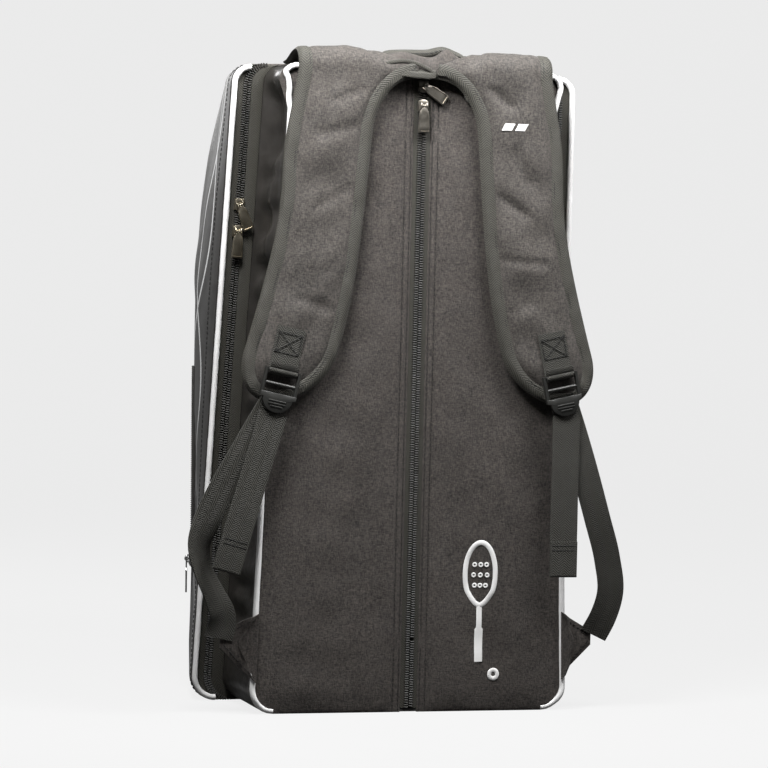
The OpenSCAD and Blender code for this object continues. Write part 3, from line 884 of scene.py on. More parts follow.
class Finishes(Enum):
    """Every finish of the bag."""

    OXFORD = Finish("oxford_taupe", (0.0072, 0.0062, 0.0055), (0.078, 0.066, 0.058),
                    Weave.HEATHER, 0.85, sheen=0.06, bump=0.4, pitch=1600.0, dust_and_light=0.03)
    PAD = Finish("strap_oxford", (0.008, 0.007, 0.006), (0.088, 0.077, 0.068),
                 Weave.HEATHER, 0.85, sheen=0.06, bump=0.4, pitch=1600.0, dust_and_light=0.03)
    BINDING = Finish("herringbone_binding", (0.006, 0.006, 0.0045), (0.085, 0.08, 0.064),
                     Weave.HERRINGBONE, 0.75, sheen=0.05, bump=0.6, dust_and_light=0.03)
    WEBBING = Finish("ribbed_webbing", (0.005, 0.005, 0.004), (0.062, 0.059, 0.047),
                     Weave.HERRINGBONE, 0.72, sheen=0.05, bump=0.6, dust_and_light=0.03)
    TAPE = Finish("zip_tape", (0.006, 0.006, 0.004), (0.05, 0.046, 0.034),
                  Weave.HERRINGBONE, 0.8, sheen=0.05, bump=0.4, dust_and_light=0.03)
    GUSSET = Finish("coated_gusset", (0.012, 0.0108, 0.0096), (0.034, 0.031, 0.028),
                    roughness=0.36, coat=0.35, dust_and_light=0.02, bump=0.3)
    PRINTED = Finish("printed_satin", (0.02, 0.019, 0.018), (0.042, 0.04, 0.038),
                     Weave.WAVES, 0.42, sheen=0.05, dust_and_light=0.02)
    PIPING = Finish("white_piping", (0.7, 0.69, 0.68), (0.86, 0.86, 0.86),
                    roughness=0.5, dust_and_light=0.03, bump=0.1)
    COIL = Finish("coil_teeth", (0.008, 0.0075, 0.006), (0.024, 0.022, 0.0175),
                  roughness=0.62, dust_and_light=0.01)
    BRONZE = Finish("bronze_gunmetal", (0.27, 0.24, 0.185), (0.5, 0.45, 0.35),
                    roughness=0.34, metallic=1.0, dust_and_light=0.03, bump=0.1)
    DARK_METAL = Finish("dark_gunmetal", (0.2, 0.185, 0.16), (0.42, 0.39, 0.34),
                        roughness=0.34, metallic=1.0, dust_and_light=0.03, bump=0.1)
    SILVER = Finish("satin_silver", (0.45, 0.45, 0.45), (0.66, 0.66, 0.66),
                    roughness=0.3, metallic=1.0, dust_and_light=0.02)
    PLASTIC = Finish("moulded_plastic", (0.01, 0.01, 0.009), (0.026, 0.026, 0.024),
                     roughness=0.38, dust_and_light=0.03, bump=0.12)
    # near-black thread: its tone is painted shade of the stitch holes, darker than any cloth
    THREAD = Finish("stitch_thread_and_hole_shade", (0.003, 0.003, 0.0025), (0.009, 0.0085, 0.008),
                    roughness=0.8, dust_and_light=0.0)
    LINING = Finish("plain_lining", (0.012, 0.012, 0.012), (0.04, 0.039, 0.037),
                    Weave.HEATHER, 0.7, bump=0.15)
    PRINT = Finish("screen_print", (0.72, 0.71, 0.7), (0.84, 0.84, 0.83),
                   roughness=0.6, bump=0.1, dust_and_light=0.02)

    @property
    def mat(self) -> bpy.types.Material:
        """The finish's material."""
        return self.value.material()


def plain_stage() -> bpy.types.Material:
    """Pale floor: it glows for the camera alone, and keeps a soft contact shadow.

    Returns:
        The floor's material.
    """
    m = bpy.data.materials.new("studio_floor")
    m.use_nodes = True
    k = Sockets(m.node_tree)
    shader = m.node_tree.nodes["Principled BSDF"]
    where = k.node("ShaderNodeTexCoord")
    tone = k.span(k.noise(where.outputs["Object"], 3.0), 0.3, 0.7)
    k.join(k.mix(tone, (0.05, 0.05, 0.05, 1), (0.052, 0.052, 0.052, 1)), shader.inputs["Base Color"])
    shader.inputs["Roughness"].default_value = 0.8
    shader.inputs["Specular IOR Level"].default_value = 0.0
    ray = k.node("ShaderNodeLightPath")
    glow = k.math("MULTIPLY_ADD", ray.outputs["Is Camera Ray"], 0.795, 0.025)
    k.join(glow, shader.inputs["Emission Strength"])
    shader.inputs["Emission Color"].default_value = (1.0, 1.0, 1.0, 1)
    return m


# ---------------------------------------------------------------- the body's shape


SIDES = ("left", "right")


@dataclass
class BodyShape:
    """Outer form of the bag, as the CAD draws it: heights, widths and depths in millimetres."""

    h: float = 552.0
    d: float = 290.0
    half: float = 142.0
    taper: float = 15.0
    front: float = 116.0
    front_taper: float = 14.0
    lean: float = 30.0
    foot_r: float = 22.0
    top_r: float = 16.0
    gusset: tuple[float, float] = (96.0, 51.0)
    swell: tuple[float, float] = (4.0, 17.0)
    ring: float = 28.0
    gap: float = 0.3
    seam: float = 0.4
    drawn_in: float = 8.5
    tape_lift: float = 1.9

    @property
    def back_y(self) -> float:
        """Plane of the back panel."""
        return -self.d / 2

    def half_w(self, z: Array) -> Array:
        """Half width of the back panel: it narrows evenly to the top."""
        return self.half - self.taper * z / self.h

    def pinch(self, z: Array) -> Array:
        """How far the back's edge is drawn in behind the straps, in full from 305 to 514 mm up."""
        return self.drawn_in * np.clip((z - 245) / 60, 0, 1) * np.clip((538 - z) / 24, 0, 1)

    def ends(self, z: Array, run: float) -> Array:
        """Share that is 0 at the foot and the top and grows evenly to 1 at run from either."""
        return np.clip(np.minimum(z, self.h - z) / run, 0, 1)

    def rounding(self, z: Array) -> Array:
        """How far the rounded corners draw the side edge in: r - sqrt(r^2 - d^2), d into the corner.

        Args:
            z: height.

        Returns:
            Inward shift at each height.
        """
        foot = np.clip(self.foot_r - z, 0, self.foot_r)
        top = np.clip(z - (self.h - self.top_r), 0, self.top_r)
        return (self.foot_r - np.sqrt(self.foot_r ** 2 - foot ** 2)
                + self.top_r - np.sqrt(self.top_r ** 2 - top ** 2))

    def panel_edge(self, z: Array) -> Array:
        """Half width of the cloth of the back, a seam's width inside the edge."""
        return self.half_w(z) - self.pinch(z) - self.rounding(z) - self.seam

    def rim(self, inset: float, n: int, corner: int) -> tuple[Array, Array]:
        """Heights and inward shifts along the body's own side edge, inset from it."""
        z, i = self.edge(self.foot_r, self.top_r, inset, n, corner)
        return z[0], i[0]

    def ring_y(self, z: Array) -> Array:
        """Depth of the side zip: the gusset narrows evenly to the top."""
        return self.back_y + self.gusset[0] + (self.gusset[1] - self.gusset[0]) * z / self.h

    def front_w(self, z: Array) -> Array:
        """Half width of the front."""
        return self.front - self.front_taper * z / self.h

    def front_y(self, z: Array) -> Array:
        """Depth of the front, which leans back."""
        return self.d / 2 - self.lean * z / self.h

    def bulge(self, z: Array) -> Array:
        """Swell of a cover: low + high sin(pi (z/h)^1.8)."""
        share = np.clip(z / self.h, 0, 1) ** 1.8
        return self.swell[0] + self.swell[1] * np.maximum(0, np.sin(np.pi * share))

    def cover(self, s: Array, z: Array) -> tuple[Array, Array]:
        """Point on the cover in plan: a straight run from zip to front, and bulge sin(pi s)^0.8 outwards.

        Args:
            s: share of the way from the zip to the front.
            z: height.

        Returns:
            Sideways place and depth.
        """
        ax, ay = self.half_w(z) + self.ring, self.ring_y(z) + self.tape_lift
        bx, by = self.front_w(z), self.front_y(z)
        dx, dy = bx - ax, by - ay
        n = np.hypot(dx, dy)
        b = self.bulge(z) * np.maximum(0, np.sin(np.pi * s)) ** 0.8
        return ax + dx * s + dy / n * b, ay + dy * s - dx / n * b

    def edge(self, rb: Array, rt: Array, inset: float, n: int, corner: int = 8) -> tuple[Array, Array]:
        """Heights and inward shifts along side edges with rounded corners, from the foot to the top.

        Args:
            rb: corner radius at the foot, one per edge.
            rt: corner radius at the top, one per edge.
            inset: how far inside the outline the line runs.
            n: points on the straight stretch.
            corner: points on each corner's quarter circle.

        Returns:
            Two arrays with a row per edge.
        """
        rb, rt = np.atleast_1d(rb)[:, None], np.atleast_1d(rt)[:, None]
        a = np.linspace(-np.pi / 2, 0, corner)
        z0, i0 = rb + (rb - inset) * np.sin(a), rb - (rb - inset) * np.cos(a)
        m = np.linspace(0, 1, n + 2)[1:-1]
        z1 = rb + (self.h - rt - rb) * m
        b = np.linspace(0, np.pi / 2, corner)
        z2, i2 = self.h - rt + (rt - inset) * np.sin(b), rt - (rt - inset) * np.cos(b)
        return np.concatenate([z0, z1, z2], 1), np.concatenate([i0, inset + 0 * z1, i2], 1)


BODY = BodyShape()


def per_side(side: str, mesh: Mesh | list[Mesh]) -> Mesh | list[Mesh]:
    """Leave a right-hand mesh as it is, or mirror it for the left.

    Args:
        side: left or right.
        mesh: one mesh or several.

    Returns:
        The same, mirrored for the left.
    """
    if side == "right":
        return mesh
    return [m.mirrored() for m in mesh] if isinstance(mesh, list) else mesh.mirrored()


def dress(name: str, parts: Mesh | list[Mesh], mats: list, body: str,
          stands: tuple = ()) -> bpy.types.Object:
    """Store a piece with its finishes, ride it on its body and hide the CAD nodes that it replaces.

    Args:
        name: name of the piece.
        parts: its mesh or meshes.
        mats: its finishes, in the order of the parts' slot numbers.
        body: the body that it moves with.
        stands: the CAD nodes that it replaces.

    Returns:
        The new object.
    """
    obj = store(name, parts, [m.mat for m in mats])
    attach(obj, body)
    if stands:
        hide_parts(*stands)
    log.info("%s: %d faces on %s", name, len(obj.data.polygons), body)
    return obj


STITCH = capsule(3.0, 0.75, 0.55, 6)


def stitches(path: Array, across: Array, slot: int, lift: float = 0.0, pitch: float = 4.3) -> Mesh:
    """Dashes along a line, standing lift off it.

    Args:
        path: points of the line.
        across: direction square to the dashes, in the cloth.
        slot: material slot.
        lift: how far they stand off it.
        pitch: spacing of the dashes.

    Returns:
        One mesh of all the dashes.
    """
    o, ax = placed_along(path, pitch, across)
    m = repeat(STITCH, o - ax[:, 1] * lift, ax)
    m.slot = slot
    return m


CORD_INSET = 2.6


def piping_cord(path: Array, slow: float, quick: float) -> Mesh:
    """Cord 5 mm thick whose radius wavers: 2.5 (1 + 0.03 sin(slow n) + 0.02 sin(quick n)) at point n.

    Args:
        path: points of its centre line.
        slow: step of the longer wave, per point.
        quick: step of the shorter wave.

    Returns:
        The cord's mesh.
    """
    n = np.arange(len(path))
    r = 2.5 * (1 + 0.03 * np.sin(n * slow) + 0.02 * np.sin(n * quick))
    return sweep(path, circle(1.0, 12)[None] * r[:, None, None], Y_AXIS)


@dataclass
class Back:
    """Back panel in two halves, each with a flap beside the zip, and the zip itself."""

    fold_x: float = 7.3
    hinge_x: float = 44.0
    z0: float = 62.0
    z1: float = 495.0
    foot_end: float = 3.5
    top_end: float = 550.5
    crown: float = 3.4
    t: float = 1.6
    pitch: float = 2.05

    def depth(self, side: str, x: Array, z: Array) -> Array:
        """Depth of the outer face: it swells by crown sin(pi t)^0.55 with soft upright folds, less the dips.

        Args:
            side: left or right, for its own folds.
            x: distance from the middle; t runs from the zip's fold to the panel's edge.
            z: height.

        Returns:
            Depth at each point; a dip runs along each of the two stitch rows.
        """
        share = np.clip((x - self.fold_x) / (BODY.panel_edge(z) - self.fold_x), 0, 1)
        ends = BODY.ends(z, 20) ** 0.5
        bell = np.sin(np.pi * share)
        soft = Ripples(11 if side == "left" else 12, 1.7, 95, 0.05, 0.25).at(x, z)
        fine = Ripples(13 if side == "left" else 14, 0.6, 34, 0.3, 0.9).at(x, z)
        folds = np.clip(soft + fine, -1.7, 1.5) * bell ** 0.7
        y = BODY.back_y - (self.crown * bell ** 0.55 + folds) * ends
        for at, deep in ((2.4, 0.6), (7.2, 1.1)):
            y = y + deep * np.exp(-((x - self.fold_x - at) / 1.2) ** 2) * ends
        return y

    def surface(self, side: str) -> tuple[Array, Array]:
        """Grid of the outer face, rolled inwards at the zip, and the flags of the quads in the flap.

        Its rows are closer together in the rounded corners, and its columns beside the zip.

        Args:
            side: left or right, for its own folds.

        Returns:
            The grid of points and one flag per quad.
        """
        foot, top = BODY.foot_r, BODY.h - BODY.top_r
        z = np.concatenate([foot * np.linspace(0, 1, 9)[:-1] ** 1.6, np.linspace(foot, self.z0, 7)[:-1],
                            np.linspace(self.z0, self.z1, 66)[:-1], np.linspace(self.z1, top, 8)[:-1],
                            BODY.h - BODY.top_r * np.linspace(1, 0, 8) ** 1.6])
        edge = BODY.panel_edge(z)
        roll = np.array([[1.2, 2.6], [0.2, 1.9], [0, 0.9], [0.3, 0.1], [1.3, -0.4]])
        beside = np.array([2.4, 3.4, 4.6, 5.8, 6.6, 7.2, 7.8, 8.8, 10.2])
        near = np.concatenate([self.fold_x + roll[:, 0], self.fold_x + beside,
                               np.linspace(self.fold_x + 13, self.hinge_x, 9)])
        far = self.hinge_x + (edge[:, None] - self.hinge_x) * np.linspace(0, 1, 31)[1:]
        x = np.concatenate([np.broadcast_to(near, (len(z), len(near))), far], 1)
        zz = np.broadcast_to(z[:, None], x.shape)
        y = self.depth(side, x, zz)
        y[:, :len(roll)] += roll[:, 1]
        p = xyz(x, y, zz)
        qx, qz = (x[:-1, :-1] + x[1:, 1:]) / 2, (zz[:-1, :-1] + zz[1:, 1:]) / 2
        flap = (qx < self.hinge_x) & (qz > self.z0) & (qz < self.z1)
        return p.transpose(1, 0, 2), flap.T

    def line(self, p: Array, x: float) -> Array:
        """Upright line on the grid at distance x from the middle, between its two nearest columns.

        Args:
            p: the grid.
            x: distance from the middle.

        Returns:
            One point per row of the grid.
        """
        xs = p[:, 40, 0]
        i = int(np.clip(np.searchsorted(xs[4:], x) + 4, 5, len(xs) - 1))
        f = (x - xs[i - 1]) / (xs[i] - xs[i - 1])
        return p[i - 1] * (1 - f) + p[i] * f

    def halves(self) -> None:
        """Cloth of the two halves and flaps with their rows of stitches."""
        for side in SIDES:
            p, flap = self.surface(side)
            cloth = thick_sheet(p, self.t, ~flap)
            lip = thick_sheet(p, self.t, flap)
            fixed, moving = [cloth], [lip]
            for x in (self.fold_x + 2.2, self.fold_x + 7.2):
                row = self.line(p, x) + [0, -0.2, 0]
                z = row[:, 2]
                for keep, to in ((z >= self.z1 + 1, fixed), (z <= self.z0 - 1, fixed),
                                 ((z > self.z0 + 1) & (z < self.z1 - 1), moving)):
                    if keep.sum() > 1:
                        to.append(stitches(row[keep], X_AXIS, 1))
            mats = [Finishes.OXFORD, Finishes.THREAD]
            dress(f"back_cloth_{side}", per_side(side, fixed), mats, "bag",
                  (f"back_panel_{side}",))
            dress(f"flap_cloth_{side}", per_side(side, moving), mats, f"lip_{side}",
                  (f"back_lip_{side}",))

    def coil(self, z0: float, z1: float, side: str) -> list[Mesh]:
        """Half of the zip from z0 to z1: a row of coil turns, its tape and the tape's stitch line.

        Args:
            z0: lower end.
            z1: upper end.
            side: left or right; the right turns stand half a pitch higher.

        Returns:
            The coil, the tape and the stitches, for the right side.
        """
        shift = 0.0 if side == "left" else 0.5
        z = np.arange(math.ceil(z0 / self.pitch) + shift, z1 / self.pitch - 0.2) * self.pitch
        z = z[(z > z0 + 0.4) & (z < z1 - 0.4)]
        teeth = repeat(capsule(4.0, 2.5, 1.55, 6), xyz(2.0, BODY.back_y - 0.1, z), np.eye(3))
        x = np.array([2.6, 3.2, 4.2, 9.6])
        y = np.array([1.1, 0.4, 0.2, 1.2])
        zz = np.linspace(z0, z1, max(2, int((z1 - z0) / 12)))
        p = xyz(x[:, None], BODY.back_y + y[:, None], zz[None])
        tape = thick_sheet(p[:, ::-1], 0.6, slot=1)
        return [teeth, tape, stitches(xyz(5.2, BODY.back_y + 0.2, zz), X_AXIS, 1, 0.1, 3.4)]

    def zips(self) -> None:
        """The zip on the flaps, and its fixed ends."""
        mats = [Finishes.COIL, Finishes.TAPE]
        ends = []
        for side in SIDES:
            dress(f"back_coil_{side}", per_side(side, self.coil(self.z0, self.z1, side)), mats,
                  f"lip_{side}", (f"back_zip_{side}",))
            for a, b in ((self.foot_end, self.z0), (self.z1, self.top_end)):
                ends += per_side(side, self.coil(a, b, side))
        dress("back_coil_ends", ends, mats, "bag", ("back_zip_ends",))

    def piping(self) -> None:
        """White cord round each half, kinked where the panel is gathered near its top."""
        for side in SIDES:
            z, i = BODY.rim(CORD_INSET, 90, 12)
            x = BODY.half_w(z) - BODY.pinch(z) - i
            pull, at = 5.5 if side == "left" else 1.0, BODY.h - BODY.top_r
            x = x - pull * np.exp(-((z - at) / 11) ** 2) * np.clip((at + 9 - z) / 6, 0, 1)
            x = x + Ripples(21 + len(side), 0.5, 160).at(z, 0 * z) * BODY.ends(z, 40)
            path = xyz(x, BODY.back_y - 2.4 + 3.6 * np.clip((12 - z) / 8, 0, 1), z)
            cord = piping_cord(path, 0.9, 2.3)
            row = path + [-3.4, 1.9, 0]
            parts = [cord, stitches(row[14:-14], X_AXIS, 1)]
            dress(f"back_piping_cord_{side}", per_side(side, parts), [Finishes.PIPING, Finishes.THREAD],
                  "bag", (f"back_piping_{side}",))

    def printed(self, x: Array | float, z: Array, section: Array, closed: bool = True) -> Mesh:
        """Raised printed line through the points (x, z), lying on the cloth of the right half."""
        path = xyz(x, self.depth("right", np.broadcast_to(x, z.shape), z) - 0.2, z)
        return sweep(path, section, Y_AXIS, closed=closed)

    def mark(self) -> list[Mesh]:
        """Plain pictogram low on the right half: a racket with nine holes above a ball.

        The head's outline is an ellipse, drawn in by half of -cos a - 0.55 towards the throat.

        Returns:
            One mesh per printed line.
        """
        a = np.linspace(0, TAU, 73)[:-1]
        mid, line = 61.0, 0.7
        neck = np.clip(-np.cos(a) - 0.55, 0, 1)
        parts = [self.printed(mid + 13.2 * np.sin(a) * (1 - 0.5 * neck), 119 + 27 * np.cos(a),
                              oval(4.4, line, 8, 0.6))]
        z = np.linspace(91, 43, 30)
        grip = np.stack([np.where(z > 72, 5.0, 7.4), np.ones(len(z))], 1)[:, None]
        parts.append(self.printed(mid, z, oval(1.0, line, 8, 0.6)[None] * grip, closed=False))
        for dx in (-6.0, 0.0, 6.0):
            for dz in (-11.0, -2.0, 7.0):
                x = mid + dx * (1 - 0.02 * abs(dz)) + 1.5 * np.sin(a[::6])
                parts.append(self.printed(x, 120 + dz + 1.5 * np.cos(a[::6]), oval(1.4, line, 6, 0.6)))
        parts.append(self.printed(75 + 3.6 * np.sin(a[::2]), 32 + 3.6 * np.cos(a[::2]),
                                  oval(3.6, line, 8, 0.6)))
        return parts

    def build(self) -> None:
        """Make everything on the back."""
        self.halves()
        self.zips()
        self.piping()


@dataclass
class SideCompartment:
    """Gusset, zip ring, piping and the printed cover of each side."""

    pitch: float = 2.05
    sag: float = 3.5
    front_r: float = 1.5
    reach: float = 0.972

    def gusset(self) -> None:
        """Coated cloth between the back and the zip ring.

        At share k from back to ring it sags by (sag + hollow + puckers) sin(pi k)^0.8, with an
        upright ridge at 0.42 in its upper half, and the back's pinch fades out across it.
        """
        for side in SIDES:
            z, i = BODY.edge(BODY.foot_r, BODY.top_r, 0.0, 110, 10)
            k = np.linspace(0, 1, 15)[:, None]
            y0, y1 = BODY.back_y + 0.4, BODY.ring_y(z) - 0.4
            y = y0 + (y1 - y0) * k
            corner = BODY.ends(z, 30)
            seed = 31 if side == "left" else 35
            fold = (Ripples(seed, 1.6, 34, 1.3, 0.35).at(y, z)
                    + Ripples(seed + 1, 1.3, 60, 0.1, 0.4).at(y, z))
            hollow = 6.5 * np.exp(-((z - 500) / 45) ** 2)
            sag = (self.sag + hollow + 2.6 * np.clip(fold, -1, 1)) * np.sin(np.pi * k) ** 0.8 * corner
            ridge = 4.5 * np.exp(-((k - 0.42) / 0.13) ** 2) * np.clip((z - 250) / 120, 0, 1) * corner
            x = BODY.half_w(z) - BODY.pinch(z) * (1 - k) - i - 0.5 - sag + ridge
            dress(f"gusset_skin_{side}", per_side(side, thick_sheet(xyz(x, y, z), 0.9)),
                  [Finishes.GUSSET], "bag", (f"gusset_{side}",))

    def ring_path(self, k: float, front: float, n: int = 150) -> Array:
        """Line round the ring, k out from the gusset and front nearer the bag's front."""
        z, i = BODY.rim(BODY.gap, n, 14)
        return xyz(BODY.half_w(z) + k - i, BODY.ring_y(z) + front, z)

    def tape(self, ks: list[float], fronts: list[float], slot: int) -> Mesh:
        """Tape strip on the ring through the given offsets."""
        p = np.stack([self.ring_path(k, f) for k, f in zip(ks, fronts)])
        return thick_sheet(p[:, ::-1], 0.6, uv=metres_uv(p), slot=slot)

    def teeth(self, k: float, shift: float) -> Mesh:
        """Row of coil turns along the ring.

        Args:
            k: distance out from the gusset.
            shift: shift along the zip, as a share of the pitch.

        Returns:
            The row's mesh.
        """
        path = self.ring_path(k, 0.0)
        o, ax = placed_along(path, self.pitch, Y_AXIS, 0.5 + shift)
        return repeat(capsule(3.6, 2.3, 1.4, 6), o, ax[:, [1, 2, 0]])

    def rings(self) -> None:
        """Inner tape and coil on the bag, outer tape, coil and piping on the cover."""
        mats = [Finishes.COIL, Finishes.TAPE, Finishes.THREAD]
        for side in SIDES:
            inner = [self.teeth(12.2, 0.0), self.tape([0.2, 3.5, 8.6, 11.0], [0.4, -0.3, 0.3, 0.6], 1),
                     stitches(self.ring_path(4.2, -0.35), Y_AXIS, 2)]
            outer = [self.teeth(15.8, 0.5), self.tape([17.0, 19.4, 23.0, 27.6], [0.6, 0.3, -0.6, 0.3], 1),
                     stitches(self.ring_path(24.0, -0.6), Y_AXIS, 2)]
            dress(f"side_coil_inner_{side}", per_side(side, inner), mats, "bag",
                  (f"side_zip_inner_{side}",))
            dress(f"side_coil_outer_{side}", per_side(side, outer), mats, f"cover_{side}",
                  (f"side_zip_outer_{side}",))
            z, i = BODY.rim(CORD_INSET, 110, 14)
            path = xyz(BODY.half_w(z) + BODY.ring - i, BODY.ring_y(z) - CORD_INSET, z)
            cord = piping_cord(path, 0.7, 1.9)
            dress(f"side_piping_cord_{side}", per_side(side, cord), [Finishes.PIPING],
                  f"cover_{side}", (f"side_piping_{side}",))

    def cover_grid(self, side: str, n_s: int = 44, n_z: int = 90) -> Array:
        """Outer face of a cover: the swelling wall, moved along its normals by soft upright waves.

        The waves fade to nothing at all four edges, as sin(pi s)^0.8 across and evenly over the
        last 45 mm of the height.

        Args:
            side: left or right, for its own waves.
            n_s: points across.
            n_z: points on the straight stretch of the height.

        Returns:
            The grid, from the zip to the front and from the foot to the top.
        """
        s = np.linspace(0, 1, n_s) * self.reach
        foot, top = (r + (self.front_r - r) * s for r in (BODY.foot_r, BODY.top_r))
        z, i = BODY.edge(foot, top, 0.0, n_z, 9)
        x, y = BODY.cover(s[:, None], z)
        p = np.stack([x - i, y, z], -1)
        seed = 41 if side == "left" else 45
        soft = (Ripples(seed, 2.2, 120, 0.1, 0.3).at(y, z)
                + Ripples(seed + 1, 0.9, 52, 0.5, 0.8).at(y, z))
        body = (np.maximum(0, np.sin(np.pi * s / self.reach))[:, None] ** 0.8) * BODY.ends(z, 45)
        return p + normals(p) * (np.clip(soft, -3, 2.2) * body)[..., None]

    def covers(self) -> None:
        """The printed covers, each with a row of stitches beside its piping."""
        for side in SIDES:
            p = self.cover_grid(side)
            parts = [thick_sheet(p, 1.1), stitches(p[3] + normals(p)[3] * 0.3, Y_AXIS, 1)]
            dress(f"cover_skin_{side}", per_side(side, parts), [Finishes.PRINTED, Finishes.THREAD],
                  f"cover_{side}", (f"side_cover_{side}",))

    def pocket_line(self, z: Array, s: float, out: float) -> Array:
        """Upright line at share s across the left cover's plain wall, standing out from it.

        Args:
            z: heights.
            s: share across the cover.
            out: distance off the wall.

        Returns:
            One point per height.
        """
        x, y = BODY.cover(np.full_like(z, s), z)
        x1, y1 = BODY.cover(np.full_like(z, s + 0.01), z)
        n = np.stack([y1 - y, -(x1 - x)], 1)
        n /= np.linalg.norm(n, axis=1, keepdims=True)
        return xyz(x, y, z) + np.concatenate([n, 0 * z[:, None]], 1) * out

    def pocket(self) -> None:
        """Pocket zip on the left cover: a tape, a coil and a rolled welt on each side of it."""
        z = np.linspace(112, 290, 46)
        at, seat, out = 0.3, 1.2, np.array([0.3, -1.0, 0])
        section = ((-0.03, -1.6), (-0.022, 0.0), (0.022, 0.0), (0.03, -1.6))
        p = np.stack([self.pocket_line(z, at + d, seat + f) for d, f in section])
        tape = thick_sheet(p, 0.8, slot=1)
        o, ax = placed_along(self.pocket_line(z, at, seat + 0.2), 1.7, out)
        teeth = repeat(capsule(4.6, 1.6, 1.2, 6), o, ax[:, [1, 2, 0]])
        welts = [sweep(self.pocket_line(z, at + d, seat + 0.1), circle(1.5, 8), out, slot=2)
                 for d in (-0.034, 0.034)]
        dress("pocket_zip_row", per_side("left", [teeth, tape] + welts),
              [Finishes.COIL, Finishes.TAPE, Finishes.PRINTED], "cover_left", ("pocket_zip",))

    def build(self) -> None:
        """Make both sides."""
        self.gusset()
        self.rings()
        self.covers()
        self.pocket()


@dataclass
class Shell:
    """Front, top and bottom cloth, and the dividers inside."""

    t: float = 2.4
    front_r: float = 1.5

    def plan(self, z: float, r: float, inset: float) -> tuple[Array, Array]:
        """Half outline of the body in plan: depth and half width, from the back to the front.

        Args:
            z: height of the plan.
            r: corner radius of the side edge there.
            inset: how far inside the outline it runs.

        Returns:
            Depths and half widths of its points.
        """
        s = np.linspace(0.03, 0.95, 12)
        x, y = BODY.cover(s, np.full_like(s, z))
        x = x - (r + (self.front_r - r) * s) - inset
        half = BODY.half_w(z) - r - inset
        ring = BODY.ring_y(z) + 1.0
        ys = np.concatenate([[BODY.back_y + 0.6, ring - 0.6], [ring + 0.6], y, [BODY.front_y(z) - 0.6]])
        xs = np.concatenate([[half, half], [half + BODY.ring], x,
                             [BODY.front_w(z) - self.front_r - inset]])
        return ys, xs

    def lid(self, z: float, r: float, up: float, crown: float, seed: int) -> Mesh:
        """Panel across the body at height z, swelling by crown towards its middle.

        Args:
            z: height of its edge.
            r: corner radius of the side edge there.
            up: 1 for a panel that faces up, -1 for down.
            crown: swell at the middle.
            seed: seed of its waves.

        Returns:
            The panel's mesh.
        """
        ys, xs = self.plan(z, r, 0.9)
        rows = np.unique(np.concatenate([np.linspace(ys[0], ys[-1], 60), ys]))
        edge = np.interp(rows, ys, xs)
        c = np.sin(np.linspace(-np.pi / 2, np.pi / 2, 41))
        x = edge[:, None] * c
        y = np.broadcast_to(rows[:, None], x.shape)
        ends = np.clip(np.minimum(rows - rows[0], rows[-1] - rows) / 30, 0, 1)[:, None] ** 0.5
        bell = 1 - c ** 2
        swell = (crown * bell ** 0.6 + Ripples(seed, 0.9, 70, 0.4, 0.8).at(x, y) * bell) * ends
        p = xyz(x, y, z + up * swell)
        p = p if up < 0 else p.transpose(1, 0, 2)
        return thick_sheet(p, self.t)

    def build(self) -> None:
        """Make the panels."""
        top = self.lid(BODY.h - 0.2, BODY.top_r, 1.0, 3.0, 51)
        dress("top_cloth", top, [Finishes.OXFORD], "bag", ("top_panel",))
        bottom = self.lid(0.4, BODY.foot_r, -1.0, 0.3, 52)
        dress("bottom_cloth", bottom, [Finishes.LINING], "bag", ("bottom_panel",))
        self.front()
        self.dividers()

    def front(self) -> None:
        """Front cloth: it swells by (4 + waves)(1 - c^4)^0.7 at share c from the middle, less two seams."""
        z = np.linspace(0.6, BODY.h - 0.4, 90)
        c = np.linspace(-1, 1, 61)
        w = BODY.front_w(z) - 0.5
        x = c[:, None] * w
        zz = np.broadcast_to(z, x.shape)
        body = (1 - c[:, None] ** 4) ** 0.7 * BODY.ends(z, 40)
        soft = Ripples(55, 1.6, 110, 0.1, 0.5).at(x, zz) + Ripples(56, 0.6, 40, 0.6, 0.9).at(x, zz)
        seams = sum(1.3 * np.exp(-((x - a) / 2.0) ** 2) for a in (-62.0, 62.0))
        y = BODY.front_y(zz) + (4.0 + soft) * body - seams * body
        p = xyz(x, y, zz)
        rows = []
        for a in (-66.0, -58.0, 58.0, 66.0):
            k = int(np.argmin(np.abs(c * w.mean() - a)))
            rows.append(stitches(p[k] + [0, 0.25, 0], X_AXIS, 1))
        dress("front_cloth", [thick_sheet(p[::-1], self.t)] + rows, [Finishes.OXFORD, Finishes.THREAD],
              "bag", ("front_panel",))

    def dividers(self) -> None:
        """Lining of the racket compartments, narrowing evenly from back to front, with slight waves."""
        for side in SIDES:
            y = np.linspace(-141.5, 110, 30)
            z = np.linspace(3.4, BODY.h - 3.4, 60)
            x = 96.2 + (58.2 - 96.2) * (y - y[0]) / (y[-1] - y[0])
            yy, zz = np.meshgrid(y, z, indexing="ij")
            xx = x[:, None] + np.clip(Ripples(58, 1.2, 90).at(yy, zz), -0.5, 1.4) * 0.6
            dress(f"lining_{side}", per_side(side, thick_sheet(xyz(xx, yy, zz), 0.9)), [Finishes.LINING],
                  "bag", (f"divider_{side}",))


# ---------------------------------------------------------------- straps


